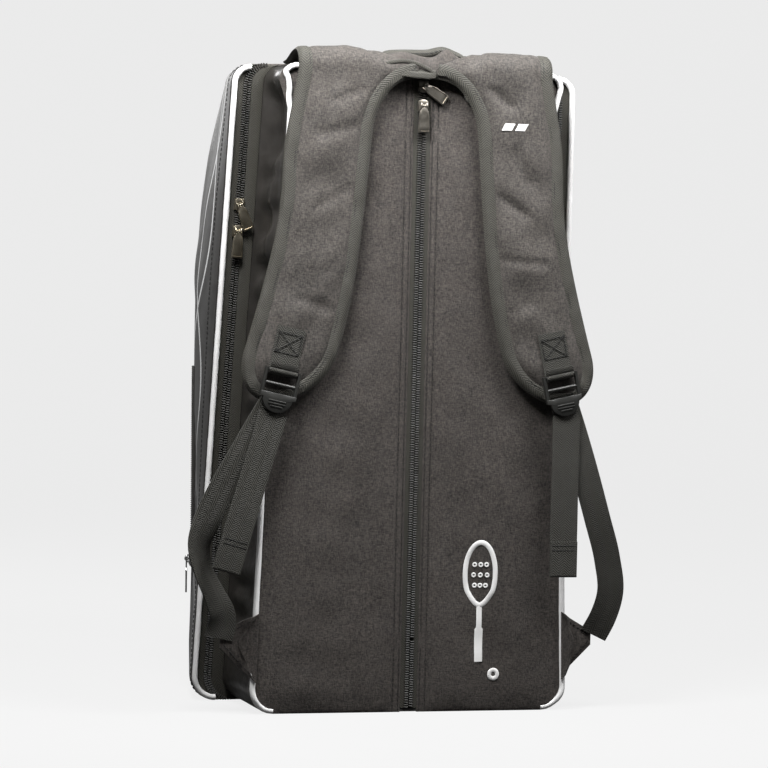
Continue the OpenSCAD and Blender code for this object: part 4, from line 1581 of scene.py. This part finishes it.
@dataclass
class Strap:
    """A padded shoulder strap: its pad, bound edge, patch, lock and webbing."""

    side: str
    top_x: float = 77.0
    z0: float = 266.0
    z1: float = 546.0
    half: float = 34.0
    flare: float = 6.0
    y: float = -156.0
    t: float = 11.0
    thin: float = 0.3
    binding: float = 10.0
    reach: float = 66.0
    bend: float = 13.5
    bend_z: float = 550.0
    wing: float = 35.0
    webbing: float = 25.0

    @property
    def long(self) -> float:
        """Length of the hanging part."""
        return self.z1 - self.z0

    def centre(self, u: Array) -> Array:
        """Sideways place of the middle line: 77 + 24 u + 27 u^3, and a 3 mm bend at u = 0.22."""
        u = np.maximum(u, 0)
        return self.top_x + 24 * u + 27 * u ** 3 + 3 * np.exp(-((u - 0.22) / 0.16) ** 2)

    def width(self, u: Array) -> Array:
        """Half width, swelling by the flare sin^4 towards the lower end.

        Args:
            u: share of the way down the hanging part.

        Returns:
            Half width at each point.
        """
        u = np.clip(u, 0, 1)
        bulge = 2.5 * np.exp(-((u - 0.22) / 0.16) ** 2)
        return self.half + bulge + self.flare * np.sin(np.pi / 2 * np.minimum(1, u / 0.85)) ** 4

    def inner_reach(self, s: Array) -> Array:
        """Extra width on the inner side near the top, where the strap runs into the yoke.

        It is a quarter ellipse from 50 mm down to the top edge, and tapers off behind the edge.

        Args:
            s: distance down from the top edge.

        Returns:
            Extra width at each point.
        """
        k = np.clip((50 - s) / 48, 0, 1)
        grow = self.wing * (1 - np.sqrt(1 - k ** 2))
        return grow * np.clip((s + 24) / 18, 0, 1) ** 1.5

    def outline(self) -> tuple[Array, Array]:
        """Outline from the top on the inner side round the end and back up.

        Points are (x, s), where s runs down from the bend at the top edge of the bag. The lower
        15% closes with a half ellipse about a fixed middle.

        Returns:
            The outline and, for each of its points, the point of the middle line opposite.
        """
        low = 0.85 * self.long
        th = np.linspace(np.pi / 2, 0, 26)
        s_in = np.concatenate([np.linspace(-self.reach, 1.6, 34), 50 - 48 * np.sin(th),
                               np.linspace(50, low, 84)[1:]])
        n = len(s_in)
        a = np.linspace(0, np.pi, 53)[1:-1]
        u_in = s_in / self.long
        left = np.stack([self.centre(u_in) - self.width(u_in) - self.inner_reach(s_in), s_in], 1)
        right = np.stack([self.centre(u_in) + self.width(u_in), s_in], 1)[::-1]
        ux = 0.85 + 0.15 * np.sin(a)
        end = np.stack([self.centre(ux) - np.cos(a) * self.width(0.85),
                        low + 0.15 * self.long * np.sin(a)], 1)
        rim = np.concatenate([left, end, right])
        mid = rim.copy()
        mid[:n, 0] = self.centre(u_in)
        mid[-n:, 0] = self.centre(u_in)[::-1]
        mid[n:-n] = [self.centre(0.85), low]
        return rim, mid

    def embed(self, x: Array, s: Array, h: Array) -> Array:
        """Point at sideways x, s down the strap and h out from its middle plane.

        Above the bend the strap turns over a quarter circle, thins to 55% and sinks by 9 mm on to
        the top panel.

        Args:
            x: sideways place.
            s: distance down the strap.
            h: height over its middle plane.

        Returns:
            The points in the bag's frame.
        """
        r = self.bend
        arc = np.pi / 2 * r
        s = s + (self.bend_z - self.z1)
        a = np.clip(-s / arc, 0, 1) * np.pi / 2
        flat = np.maximum(0, -s - arc)
        h = h * (1 - 0.45 * np.clip((-s - 6) / 24, 0, 1))
        y = self.y + r - np.cos(a) * (r + h) + flat
        sink = 4.5 * (1 - np.cos(np.pi * np.clip(flat / 40, 0, 1)))
        z = self.bend_z + np.sin(a) * (r + h) - np.maximum(0, s) - sink
        return xyz(x, y, z)

    def dents(self, x: Array, z: Array) -> Array:
        """Creases pressed into the front of the pad.

        Args:
            x: sideways place.
            z: height.

        Returns:
            Depth at each point.
        """
        if self.side == "right":
            marks = [((57, 534), (76, 520), 2.6, 4.0), ((66, 444), (90, 428), 2.4, 4.5),
                     ((80, 480), (92, 456), 1.6, 6.0), ((62, 390), (108, 386), 1.7, 4.0),
                     ((70, 340), (96, 352), 1.3, 6.0)]
        else:
            marks = [((60, 500), (92, 492), 1.9, 5.0), ((66, 446), (96, 430), 1.5, 5.0),
                     ((62, 402), (84, 376), 1.7, 6.0), ((80, 344), (108, 352), 1.6, 5.0),
                     ((58, 530), (82, 520), 1.6, 4.0)]
        return sum(crease(x, z, *m) for m in marks)

    def lumps(self, x: Array, z: Array) -> Array:
        """Waves of the padding less the dents.

        Args:
            x: sideways place.
            z: height.

        Returns:
            Height at each point.
        """
        seed = 61 if self.side == "left" else 64
        soft = (Ripples(seed, 1.5, 62, 1.2, 0.5).at(x, z)
                + Ripples(seed + 1, 0.7, 24, 1.0, 0.9).at(x, z))
        return soft - self.dents(x, z)

    def pad(self) -> Mesh:
        """Closed pad: for each outline point, a section from the middle line over the edge to the back.

        At distance d from the edge its half height is t/2 (0.3 + 0.7 (1 - e^(-(d - tuck)/4.5))),
        which stays thin up to the tuck, under the binding. Waves and dents lie on the front face.

        Returns:
            The closed mesh, for the right side.
        """
        rim, mid = self.outline()
        n_face = 18
        r = np.sin(np.linspace(0, 1, n_face) * np.pi / 2)
        r = np.concatenate([r, r[::-1][1:]])
        face = np.concatenate([np.ones(n_face), -np.ones(n_face - 1)])
        q = mid[:, None] + (rim - mid)[:, None] * r[None, :, None]
        d = np.min(np.linalg.norm(q[:, :, None] - rim[None, None], axis=-1), axis=-1)
        tuck = self.binding - 1.2
        rise = self.t / 2 * (self.thin + (1 - self.thin) * (1 - np.exp(-np.maximum(0, d - tuck) / 4.5)))
        rise = np.where(d < 0.5, self.t * 0.12, rise)
        x, s = q[..., 0], q[..., 1]
        z = self.z1 - s
        plump = 1 - np.exp(-np.maximum(0, d - tuck) / 6)
        front = rise + self.lumps(x, z) * plump
        h = np.where(face[None] > 0, np.maximum(front, 0.6), -rise)
        p = self.embed(x, s, h)
        n, m = p.shape[:2]
        quads = grid_quads(n, m)
        uv = np.stack([x, s], -1).reshape(-1, 2) * MM
        # close both ends at the top: front points meet the back points behind them
        a = np.arange(m // 2)
        caps = []
        for row in (0, n - 1):
            i, j = row * m + a, row * m + (m - 1 - a)
            q4 = np.stack([i, i + 1, j - 1, j], 1)
            caps.append(q4 if row == 0 else q4[:, ::-1])
        caps = np.concatenate(caps)
        keep = caps[:, 1] != caps[:, 2]
        tri = caps[~keep][:, [0, 1, 3]]
        return Mesh(p.reshape(-1, 3), np.concatenate([quads, caps[keep]])[:, ::-1], tri[:, ::-1], uv)

    def bound_edge(self) -> list[Mesh]:
        """Herringbone binding folded round the edge: a C-shaped section carried along the outline.

        The section is a list of shares of the binding's width and heights over the middle plane.

        Returns:
            The binding and its stitches, for the right side.
        """
        rim, _ = self.outline()
        rim = rim[int(np.argmax(rim[:, 1] > -1.0)):]
        step = np.gradient(rim, axis=0)
        inward = np.stack([step[:, 1], -step[:, 0]], 1) / np.linalg.norm(step, axis=1, keepdims=True)
        lift = self.t / 2 * self.thin
        share = np.array([1.0, 0.8, 0.45, 0.15, 0.02, -0.05, 0.02, 0.15, 0.45, 0.8, 1.0])
        high = np.array([lift + 0.5, lift + 1.3, lift + 1.2, lift + 0.6, lift * 0.4, 0,
                         -lift * 0.4, -lift - 0.6, -lift - 1.0, -lift - 1.1, -lift - 0.55])
        run = run_along(rim)
        wave = Ripples(71 if self.side == "left" else 73, 0.35, 30).at(run, 0 * run)[:, None]
        q = rim[:, None] + inward[:, None] * (self.binding * share)[None, :, None]
        p = self.embed(q[..., 0], q[..., 1], high + wave * np.sign(high) * (np.abs(share) > 0.1))
        across = run_along(np.stack([share * self.binding, high], 1))
        uv = np.stack(np.meshgrid(across, run, indexing="ij"), -1).transpose(1, 0, 2) * MM
        seam = rim + inward * self.binding * 0.8
        row = self.embed(seam[:, 0], seam[:, 1], np.full(len(rim), lift + 1.5))
        return [thick_sheet(p, 0.5, uv=uv), stitches(row, Y_AXIS, 1, 0.0, 4.0)]

    def mark(self) -> list[Mesh]:
        """Pair of plain slanted bars printed on the right strap, following the pad's waves.

        Returns:
            One mesh per bar.
        """
        front, w, slant = self.y - self.t / 2, 9.0, 3.0
        bars = []
        for x in (66.0, 78.0):
            outline = np.array([[x, 500], [x + w, 500], [x + w + slant, 506], [x + slant, 506]])
            bar = pillow(fill_in(outline, 4), front - 0.35, front + 0.8, 0.2, slot=2)
            bar.pts[:, 1] -= self.lumps(bar.pts[:, 0], bar.pts[:, 2])
            bars.append(bar)
        return bars

    def bent(self, obj: bpy.types.Object) -> None:
        """Bake a strap piece's placement into its mesh.

        Args:
            obj: the piece.
        """
        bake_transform(obj)

    def lock_frame(self, lean: float = 12.0) -> tuple[Array, Array]:
        """Axes (rows) and origin of the ladder lock on the right-hand strap."""
        return leaning(-lean), np.array([123.0, -165.4, 291.0])

    def lock(self) -> list[Mesh]:
        """Ladder lock: side rails, two bars and a ribbed thumb tongue that ends in a half ellipse.

        Returns:
            Its meshes, for the right side.
        """
        parts = []
        for s in (-1, 1):
            z = np.linspace(1.6, -22, 12)
            rail = xyz(s * 14.5, 0.3 * np.sin((z + 10) / 12), z)
            parts.append(sweep(rail, oval(4.2, 3.2, 12, 0.6), X_AXIS))
        for z in (0.0, -11.0):
            parts.append(sweep(xyz(np.linspace(-15, 15, 9), 0, z), circle(1.6, 10), Y_AXIS))
        a = np.linspace(0, np.pi, 25)
        half, top, low = 16, -18.5, -22
        end = np.stack([13.2 * np.cos(a), low - 13 * np.sin(a)], 1)
        tongue = np.concatenate([[[half, top], [half, low]], end, [[-half, low], [-half, top]],
                                 np.linspace([-half, top], [half, top], 9)[1:-1]])
        parts.append(pillow(tongue[::-1], -2.9, -0.4, 0.7, 0.5))
        for z, share in ((-25.0, 1), (-27.4, 1), (-29.8, 0.7)):
            x = np.linspace(-7.5, 7.5, 7) * share
            parts.append(sweep(xyz(x, -3.3, z), circle(0.65, 6), Y_AXIS))
        axes, o = self.lock_frame()
        return [m.moved(axes, o) for m in parts]

    def patch(self) -> list[Mesh]:
        """Webbing patch on the pad with its loop round the lock's top bar, and a crossed box of stitches.

        Returns:
            The webbing and the stitches, for the right side.
        """
        a, r = np.linspace(-np.pi / 2 - 0.9, np.pi / 2 + 0.3, 15)[::-1], 2.6
        y = np.concatenate([[3.15, 2.95, 2.75], r * np.sin(a), [-2.4, -2.4]])
        z = np.concatenate([[38.0, 20.0, 4.0], -r * np.cos(a), [3.0, 7.0]])
        parts = [sweep(xyz(0, y, z), self.webbing_section(1.4, self.webbing), X_AXIS)]
        w, low, high = 10, 16, 33
        for p0, p1 in (((-w, high), (w, high)), ((-w, low), (w, low)), ((-w, low), (-w, high)),
                       ((w, low), (w, high)), ((-w, low), (w, high)), ((-w, high), (w, low))):
            q = np.linspace(p0, p1, 12)
            parts.append(stitches(xyz(q[:, 0], 1.75, q[:, 1]), Y_AXIS, 1, 0.0, 3.6))
        axes, o = self.lock_frame()
        return [m.moved(axes, o) for m in parts]

    def webbing_section(self, w: float, t: float) -> Array:
        """Section of flat webbing: an oval that is nearly a rectangle."""
        return oval(w, t, 20, 0.25)

    def tail(self) -> list[Mesh]:
        """Free webbing: it leaves the lock, hangs with a slight wave and ends in a folded, stitched tip.

        Returns:
            The webbing, its fold and the stitches, for the right side.
        """
        lean = 16.0 if self.side == "left" else 0.0
        z = np.linspace(-0.2, -138, 46)
        wave = Ripples(81 if self.side == "left" else 83, 0.6, 90).at(z, 0 * z)
        y = 0.7 + wave * np.clip(-z / 40, 0, 1)
        w = self.webbing * (1 - 0.02 * np.sin(z / 30) ** 2)
        section = self.webbing_section(1.0, 1.0) * np.stack([np.full_like(z, 1.5), w], 1)[:, None]
        parts = [sweep(xyz(0, y, z), section, X_AXIS)]
        z2 = np.linspace(-108.5, -137.6, 10)
        y2 = np.interp(z2, z[::-1], y[::-1]) - 1.65
        parts.append(sweep(xyz(0, y2, z2), self.webbing_section(1.5, 24.6), X_AXIS))
        x = np.linspace(-12.2, 12.2, 9)
        parts.append(sweep(xyz(x, y2[-1] + 0.8, -137.9), circle(1.5, 10), Y_AXIS))
        for row in (-112.0, -116.0):
            parts.append(stitches(xyz(x * 0.9, y2[1] - 0.85, row), Y_AXIS, 1, 0.0, 3.4))
        axes, o = self.lock_frame()
        pivot = o + np.array([0, -0.2, -35.1]) @ axes
        return [m.moved(leaning(-lean), pivot) for m in parts]

    def adjuster(self) -> tuple[list[Mesh], float]:
        """Webbing from the lock round to the wing tab, smoothed through its turning points.

        The points are (x, z, depth from the lock's plane). The left one turns over by up to 38
        degrees on its lower half.

        Returns:
            Its mesh and its length.
        """
        key = np.array([[129, 266.5, -1.1], [138, 242, -1.1], [149, 210, -0.9], [163, 168, 2],
                        [175, 132, 7], [180, 102, 11], [175, 80, 15], [168, 64.5, 18.6]])
        if self.side == "left":
            key = np.array([[129, 266.5, -1.1], [143, 243, -1.1], [158, 217, -0.9], [173, 190, 1],
                            [185, 163, 3], [189.5, 146, 5], [185, 124, 9], [174, 102, 13],
                            [165, 82, 17], [168, 64.5, 18.6]])
        s = run_along(key[:, :2])
        at = np.linspace(0, s[-1], 60)
        smooth = np.stack([smooth_interp(at, s, key[:, k]) for k in range(3)], 1)
        path = xyz(smooth[:, 0], smooth[:, 2] - 161.0, smooth[:, 1])
        narrow = 1 - 0.05 * np.sin(at / at[-1] * np.pi)[:, None, None]
        flat = self.webbing_section(self.webbing, 1.5) * narrow
        share = np.clip((at / at[-1] - 0.5) / 0.48, 0, 1)
        most = math.radians(38 if self.side == "left" else 0)
        turn = most * (np.sin(np.pi * share) ** 1.2)[:, None]
        section = np.stack([flat[..., 0] * np.cos(turn) - flat[..., 1] * np.sin(turn),
                            flat[..., 0] * np.sin(turn) + flat[..., 1] * np.cos(turn)], -1)
        return [sweep(path, section, Y_AXIS)], float(run_along(path)[-1])

    def build(self) -> None:
        """Make the strap and what hangs on it."""
        side = self.side
        body = f"strap_{side}"
        pad = store(f"strap_cushion_{side}", per_side(side, self.pad()), [Finishes.PAD.mat])
        self.bent(pad)
        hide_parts(f"strap_pad_{side}", f"strap_anchor_{side}")
        edge = store(f"strap_edge_{side}", per_side(side, self.bound_edge()),
                     [Finishes.BINDING.mat, Finishes.THREAD.mat])
        self.bent(edge)
        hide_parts(f"strap_binding_{side}")
        mats = [Finishes.WEBBING, Finishes.THREAD]
        dress(f"webbing_patch_{side}", per_side(side, self.patch()), mats, body,
              (f"strap_patch_{side}",))
        dress(f"lock_{side}_moulding", per_side(side, self.lock()), [Finishes.PLASTIC],
              f"lock_{side}", (f"ladder_lock_{side}",))
        tail = dress(f"webbing_end_{side}", per_side(side, self.tail()), mats,
                     f"tail_{side}", (f"webbing_tail_{side}",))
        parts, length = self.adjuster()
        web = store(f"adjuster_strap_{side}", per_side(side, parts), [Finishes.WEBBING.mat])
        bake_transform(web)
        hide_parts(f"adjuster_webbing_{side}")
        log.info("%s is %.0f mm long, %s", web.name, length, tail.name)
        if side == "right":
            dress("strap_print_right", self.mark(), [Finishes.PRINT] * 3, body)


def smooth_interp(at: Array, s: Array, v: Array) -> Array:
    """Smooth curve through points: cubic Hermite pieces whose slopes are the neighbours' mean slope.

    Args:
        at: where the curve is read.
        s: where the points stand.
        v: value of each point.

    Returns:
        One value per place in at.
    """
    m = np.gradient(v, s)
    i = np.clip(np.searchsorted(s, at) - 1, 0, len(s) - 2)
    h = s[i + 1] - s[i]
    t = (at - s[i]) / h
    return ((2 * t ** 3 - 3 * t ** 2 + 1) * v[i] + (t ** 3 - 2 * t ** 2 + t) * h * m[i]
            + (-2 * t ** 3 + 3 * t ** 2) * v[i + 1] + (t ** 3 - t ** 2) * h * m[i + 1])


@dataclass
class Top:
    """Yoke between the straps, grab handle and wing tabs."""

    half: float = 43.0
    arch_w: float = 38.0
    arch_z: float = 527.0
    arch_h: float = 19.0
    handle_half: float = 34.0

    def arch(self, x: Array) -> Array:
        """Lower edge of the yoke: a half ellipse over the zip."""
        return self.arch_z + self.arch_h * np.sqrt(np.maximum(0, 1 - (x / self.arch_w) ** 2))

    def hump(self, x: Array) -> Array:
        """Uneven top line: one broad low hump on the left and a sharper one on the right."""
        return 4.0 * np.exp(-((x + 20) / 15) ** 2) + 8.0 * np.exp(-((x - 19) / 8) ** 2)

    def yoke(self) -> None:
        """Cloth from the arch up over the top edge, with its arch bound and a gathered tab on it."""
        x = np.linspace(-self.half, self.half, 61)[:, None]
        k = np.linspace(0, 1, 12)
        low = np.where(np.abs(x) < self.arch_w, self.arch(x), self.arch_z)
        edge_y, edge_z, foot_z = -148.5, 549, 555
        up_y, up_z = -154.5 - np.sin(np.pi * k), low + (edge_z - low) * k
        a = np.linspace(0, np.pi / 2, 9)[1:]
        over_y, over_z = edge_y - 6 * np.cos(a), edge_z + (11 + self.hump(x)) * np.sin(a)
        back = np.linspace(0, 1, 8)[1:]
        flat_y, flat_z = edge_y + 31 * back, foot_z + (5 + self.hump(x)) * np.exp(-back * 16)
        p = np.concatenate([xyz(x, up_y, up_z), xyz(x, over_y, over_z), xyz(x, flat_y, flat_z)], 1)
        p[..., 1] += Ripples(91, 0.7, 24, 0.2, 0.5).at(p[..., 0], p[..., 2]) * (np.abs(p[..., 0]) < 41)
        pieces = [thick_sheet(p, 1.8), self.arch_binding(), *self.gather()]
        dress("yoke_cloth", pieces, [Finishes.OXFORD, Finishes.BINDING, Finishes.WEBBING],
              "bag", ("yoke",))

    def arch_binding(self) -> Mesh:
        """Binding along the arch, run out 5 mm past its feet.

        Returns:
            The binding's mesh.
        """
        t = np.linspace(np.pi, 0, 49)
        foot = self.arch_z - 1.5
        x = np.concatenate([[-self.arch_w - 5], self.arch_w * np.cos(t), [self.arch_w + 5]])
        z = np.concatenate([[foot], self.arch_z + self.arch_h * np.sin(t), [foot]])
        return sweep(xyz(x, -154.9, z), oval(7.5, 3.6, 14, 0.6), Y_AXIS, slot=1)

    def gather(self) -> list[Mesh]:
        """Small bound tab over the gathered cloth, and the ridge of the fold above it.

        Returns:
            The tab and the ridge.
        """
        corners = np.array([[-25, 543.5], [-11, 541.4], [2, 541.0], [7, 542.5], [7.5, 546],
                            [-6, 547.6], [-23, 548.0]])
        tab = pillow(fill_in(corners, 5)[::-1], -159.4, -156.6, 1.2, 0.3, slot=1)
        x, z = np.linspace([-38, 553], [3, 549], 24).T
        ridge = xyz(x, -157.2, z + 5 * np.sin(np.linspace(0, np.pi, 24)))
        return [tab, sweep(ridge, oval(3.2, 2.0, 10, 0.7), Y_AXIS, slot=1)]

    def handle(self) -> None:
        """Grab handle: a limp roll between two flattened feet, low except for a peak on the right.

        At angle a round its half ellipse it rises 11 (0.3 sin(a)^0.7 + 0.35 bell(x - 18) sin(a)^0.3).
        """
        a = np.linspace(0, np.pi, 41)
        across = self.handle_half * np.cos(a)
        x = np.concatenate([[39.0, 36.5], across, [-36.5, -39.0]])
        peak = np.exp(-((across - 18) / 10) ** 2) * np.sin(a) ** 0.3
        rise = np.concatenate([[0, 0], 11 * (0.3 * np.sin(a) ** 0.7 + 0.35 * peak), [0, 0]])
        path = xyz(x, -141.0, 559.8 + rise)
        r = 4 * (1 - 0.12 * np.clip((np.abs(x) - 30) / 9, 0, 1))
        roll = sweep(path, circle(1.0, 14)[None] * r[:, None, None], Y_AXIS)
        row = path[4:-4] + [0, -3.9, 0.4]
        dress("handle_roll", [roll, stitches(row, Y_AXIS, 1)], [Finishes.BINDING, Finishes.THREAD],
              "handle", ("grab_handle",))

    def wings(self) -> None:
        """Wing tabs for the adjusting webbing: stitched cloth triangles that turn in to the body's edge."""
        for side in SIDES:
            low, high, mid = 27.0, 86.0, 62.0
            base = BODY.half_w(np.array([low, high])) - 4.5
            tip = float(BODY.half_w(mid)) + 26
            corners = np.array([[base[0], low], [tip, mid - 6], [tip, mid + 6], [base[1], high]])
            parts = [pillow(fill_in(corners, 8), -141.2, -138.6, 0.5, 0.8)]
            for p0, p1 in ((corners[0] + [1.5, 4], corners[1] + [-3, 3]),
                           (corners[2] + [-3, -3], corners[3] + [1.5, -4])):
                q = np.linspace(p0, p1, 10)
                parts.append(stitches(xyz(q[:, 0], -141.8, q[:, 1]), Y_AXIS, 1))
            for m in parts:
                over = np.clip((BODY.half_w(m.pts[:, 2]) + 7 - m.pts[:, 0]) / 8, 0, 1)
                m.pts[:, 1] -= 10.6 * over ** 2 * (3 - 2 * over)
            dress(f"wing_cloth_{side}", per_side(side, parts), [Finishes.OXFORD, Finishes.THREAD],
                  "bag", (f"wing_tab_{side}",))

    def build(self) -> None:
        """Make the pieces at the top and the tabs at the foot."""
        self.yoke()
        self.handle()
        self.wings()


# ---------------------------------------------------------------- sliders and pullers


@dataclass
class Slider:
    """Zip slider: a pear-shaped plate with a bridge, a pin and a lower plate; and its puller."""

    w: float = 9.0
    long: float = 11.0
    front: float = -3.3
    pin: float = -5.4

    def body(self, splay: float, under: bool = True) -> list[Mesh]:
        """The slider in its own frame: x across, z along the chain, -y out.

        Args:
            splay: angle of the bridge and the pin, in degrees, for a puller that hangs askew.
            under: whether there is a lower plate with its neck.

        Returns:
            Its meshes; the plate's outline is w/2 cos(a)^0.6 (1 + 0.1 sin a) by long/2 sin(a)^0.75.
        """
        a = np.linspace(0, TAU, 41)[:-1]
        c, s = np.cos(a), np.sin(a)
        pear = np.stack([self.w / 2 * np.sign(c) * np.abs(c) ** 0.6 * (1 + 0.1 * s),
                         self.long / 2 * np.sign(s) * np.abs(s) ** 0.75], 1)
        parts = [pillow(pear, self.front, self.front + 2.3, 0.6, 0.25)]
        for k in (-1, 1):
            wall = xyz(k * 4.0, self.front + 2.1, np.linspace(-4.6, 4.6, 7))
            parts.append(sweep(wall, oval(1.2, 1.4, 8, 0.7), Y_AXIS))
        turn = leaning(splay)
        t = np.linspace(0, np.pi, 13)
        for k in (-2.55, 2.55):
            bridge = xyz(k, self.front + 0.3 - 3.0 * np.sin(t) ** 0.7, 3.0 * np.cos(t))
            parts.append(sweep(bridge, circle(0.55, 8), X_AXIS).moved(turn, np.zeros(3)))
        pin = sweep(xyz(np.linspace(-2.9, 2.9, 5), self.pin, 0), circle(0.7, 10), Y_AXIS)
        parts.append(pin.moved(turn, np.zeros(3)))
        if under:
            neck = xyz(0, np.linspace(self.front + 2.2, 2.5, 4), 0)
            parts.append(sweep(neck, oval(0.55, 3.6, 10, 0.7), Z_AXIS))
            parts.append(pillow(pear * [0.88, 0.95], 2.4, 3.7, 0.3))
        return parts

    def puller(self, splay: float, ring: bool = False) -> list[Mesh]:
        """Puller hanging from the pin by two eyes: a waisted plate, or a round eye with a tag.

        Args:
            splay: angle that it hangs at, in degrees.
            ring: whether it has a round eye and a tag.

        Returns:
            Its meshes, in the slider's frame.
        """
        a = np.linspace(0, TAU, 19)[:-1]
        parts = []
        for k in (-1.0, 1.0):
            eye = xyz(k, self.pin + 1.4 * np.cos(a), 1.4 * np.sin(a))
            parts.append(sweep(eye, circle(0.45, 6), X_AXIS, closed=True))
        parts += self.ring_tag() if ring else self.waisted_plate()
        return [m.moved(leaning(splay), np.zeros(3)) for m in parts]

    def ring_tag(self) -> list[Mesh]:
        """Round eye, the neck above it and a tag below that widens from 3.2 to 6 mm.

        Returns:
            The eye, the neck and the tag.
        """
        a = np.linspace(0, TAU, 19)[:-1]
        eye = xyz(3.7 * np.cos(a), self.pin, -12 + 3.7 * np.sin(a))
        neck = xyz(0, self.pin, np.linspace(-1.4, -8.6, 5))
        tag = xyz(0, self.pin, np.linspace(-15.2, -30, 8))
        section = oval(1.0, 1.5, 12, 0.6)[None] * np.stack([np.linspace(3.2, 6.0, 8), np.ones(8)], 1)[:, None]
        return [sweep(eye, oval(2.0, 1.5, 8, 0.7), Y_AXIS, closed=True),
                sweep(neck, oval(3.0, 1.3, 10, 0.7), Y_AXIS), sweep(tag, section, Y_AXIS)]

    def waisted_plate(self) -> list[Mesh]:
        """Plate 23 mm long that widens downwards, with a raised rim round its lower part.

        Returns:
            The plate and its rim.
        """
        side = np.array([[2.0, -1.2], [2.6, -3.0], [3.8, -4.6], [4.3, -8], [4.7, -16], [5.0, -21.9],
                         [4.3, -23.0]])
        plate = fill_in(np.concatenate([side, side[::-1] * [-1, 1]]), 6)
        mid = np.array([0, -14.5])
        rim = mid + (plate - mid) * 0.84
        rim = rim[rim[:, 1] < -6.0]
        return [pillow(plate[::-1], self.pin - 0.55, self.pin + 0.7, 0.3),
                sweep(xyz(rim[:, 0], self.pin - 0.65, rim[:, 1]), circle(0.42, 6), Y_AXIS)]

    def put(self, name: str, parts: list[Mesh], frame_at: tuple[Array, Array], side: str,
            finish: Finishes) -> None:
        """Place a part by its axes and origin, mirrored for the left, on the body of its own name."""
        placed = per_side(side, [m.moved(*frame_at) for m in parts])
        dress(f"{name}_cast", placed, [finish], name, (name,))

    def build(self) -> None:
        """Make every slider and puller."""
        for u, z, splay in (("upper", 536.0, -58.0), ("lower", 519.0, 0.0)):
            at = (np.eye(3), np.array([0, BODY.back_y, z]))
            self.put(f"back_slider_{u}", self.body(splay), at, "right", Finishes.DARK_METAL)
            self.put(f"back_puller_{u}", self.puller(splay), at, "right", Finishes.DARK_METAL)
        run = np.array([-BODY.taper, BODY.gusset[1] - BODY.gusset[0], BODY.h])
        axes = self.axes_along(run, X_AXIS)
        for side in SIDES:
            for u, z, splay in (("upper", 432.0, 23.0), ("lower", 409.0, 0.0)):
                at = (axes, np.array([float(BODY.half_w(z)) + BODY.ring / 2, float(BODY.ring_y(z)), z]))
                self.put(f"side_slider_{u}_{side}", self.body(splay), at, side, Finishes.BRONZE)
                self.put(f"side_puller_{u}_{side}", self.puller(splay), at, side, Finishes.BRONZE)
        low, high, z = 112.0, 290.0, 119.0
        run = self.on_cover(0.3, high) - self.on_cover(0.3, low)
        axes = self.axes_along(run, self.on_cover(0.35, z) - self.on_cover(0.25, z))
        at = (axes, self.on_cover(0.3, z) - axes[1] * 1.1)
        self.put("pocket_slider", self.body(0.0, False), at, "left", Finishes.SILVER)
        self.put("pocket_puller", self.puller(0.0, True), at, "left", Finishes.SILVER)

    def axes_along(self, run: Array, across: Array) -> Array:
        """Rows of axes: z along the zip's run, y square to the run and to across, and x.

        Args:
            run: direction of the zip.
            across: a direction in the plane of the tapes.

        Returns:
            The three axes as rows.
        """
        d = run / np.linalg.norm(run)
        n = np.cross(d, across)
        n /= np.linalg.norm(n)
        return np.array([np.cross(n, d), n, d])

    def on_cover(self, s: float, z: float) -> Array:
        """Point of the cover's plain wall at share s across it and height z."""
        return np.array([*(float(v) for v in BODY.cover(s, z)), z])


def main() -> None:
    """Build the scene piece by piece."""
    logging.basicConfig(level=logging.INFO, format="%(name)s: %(message)s")
    studio = Studio()
    studio.camera()
    studio.build()
    back = Back()
    back.build()
    dress("back_print", back.mark(), [Finishes.PRINT], "bag")
    SideCompartment().build()
    Shell().build()
    for side in SIDES:
        Strap(side).build()
    Top().build()
    Slider().build()


if __name__ == "__main__":
    main()
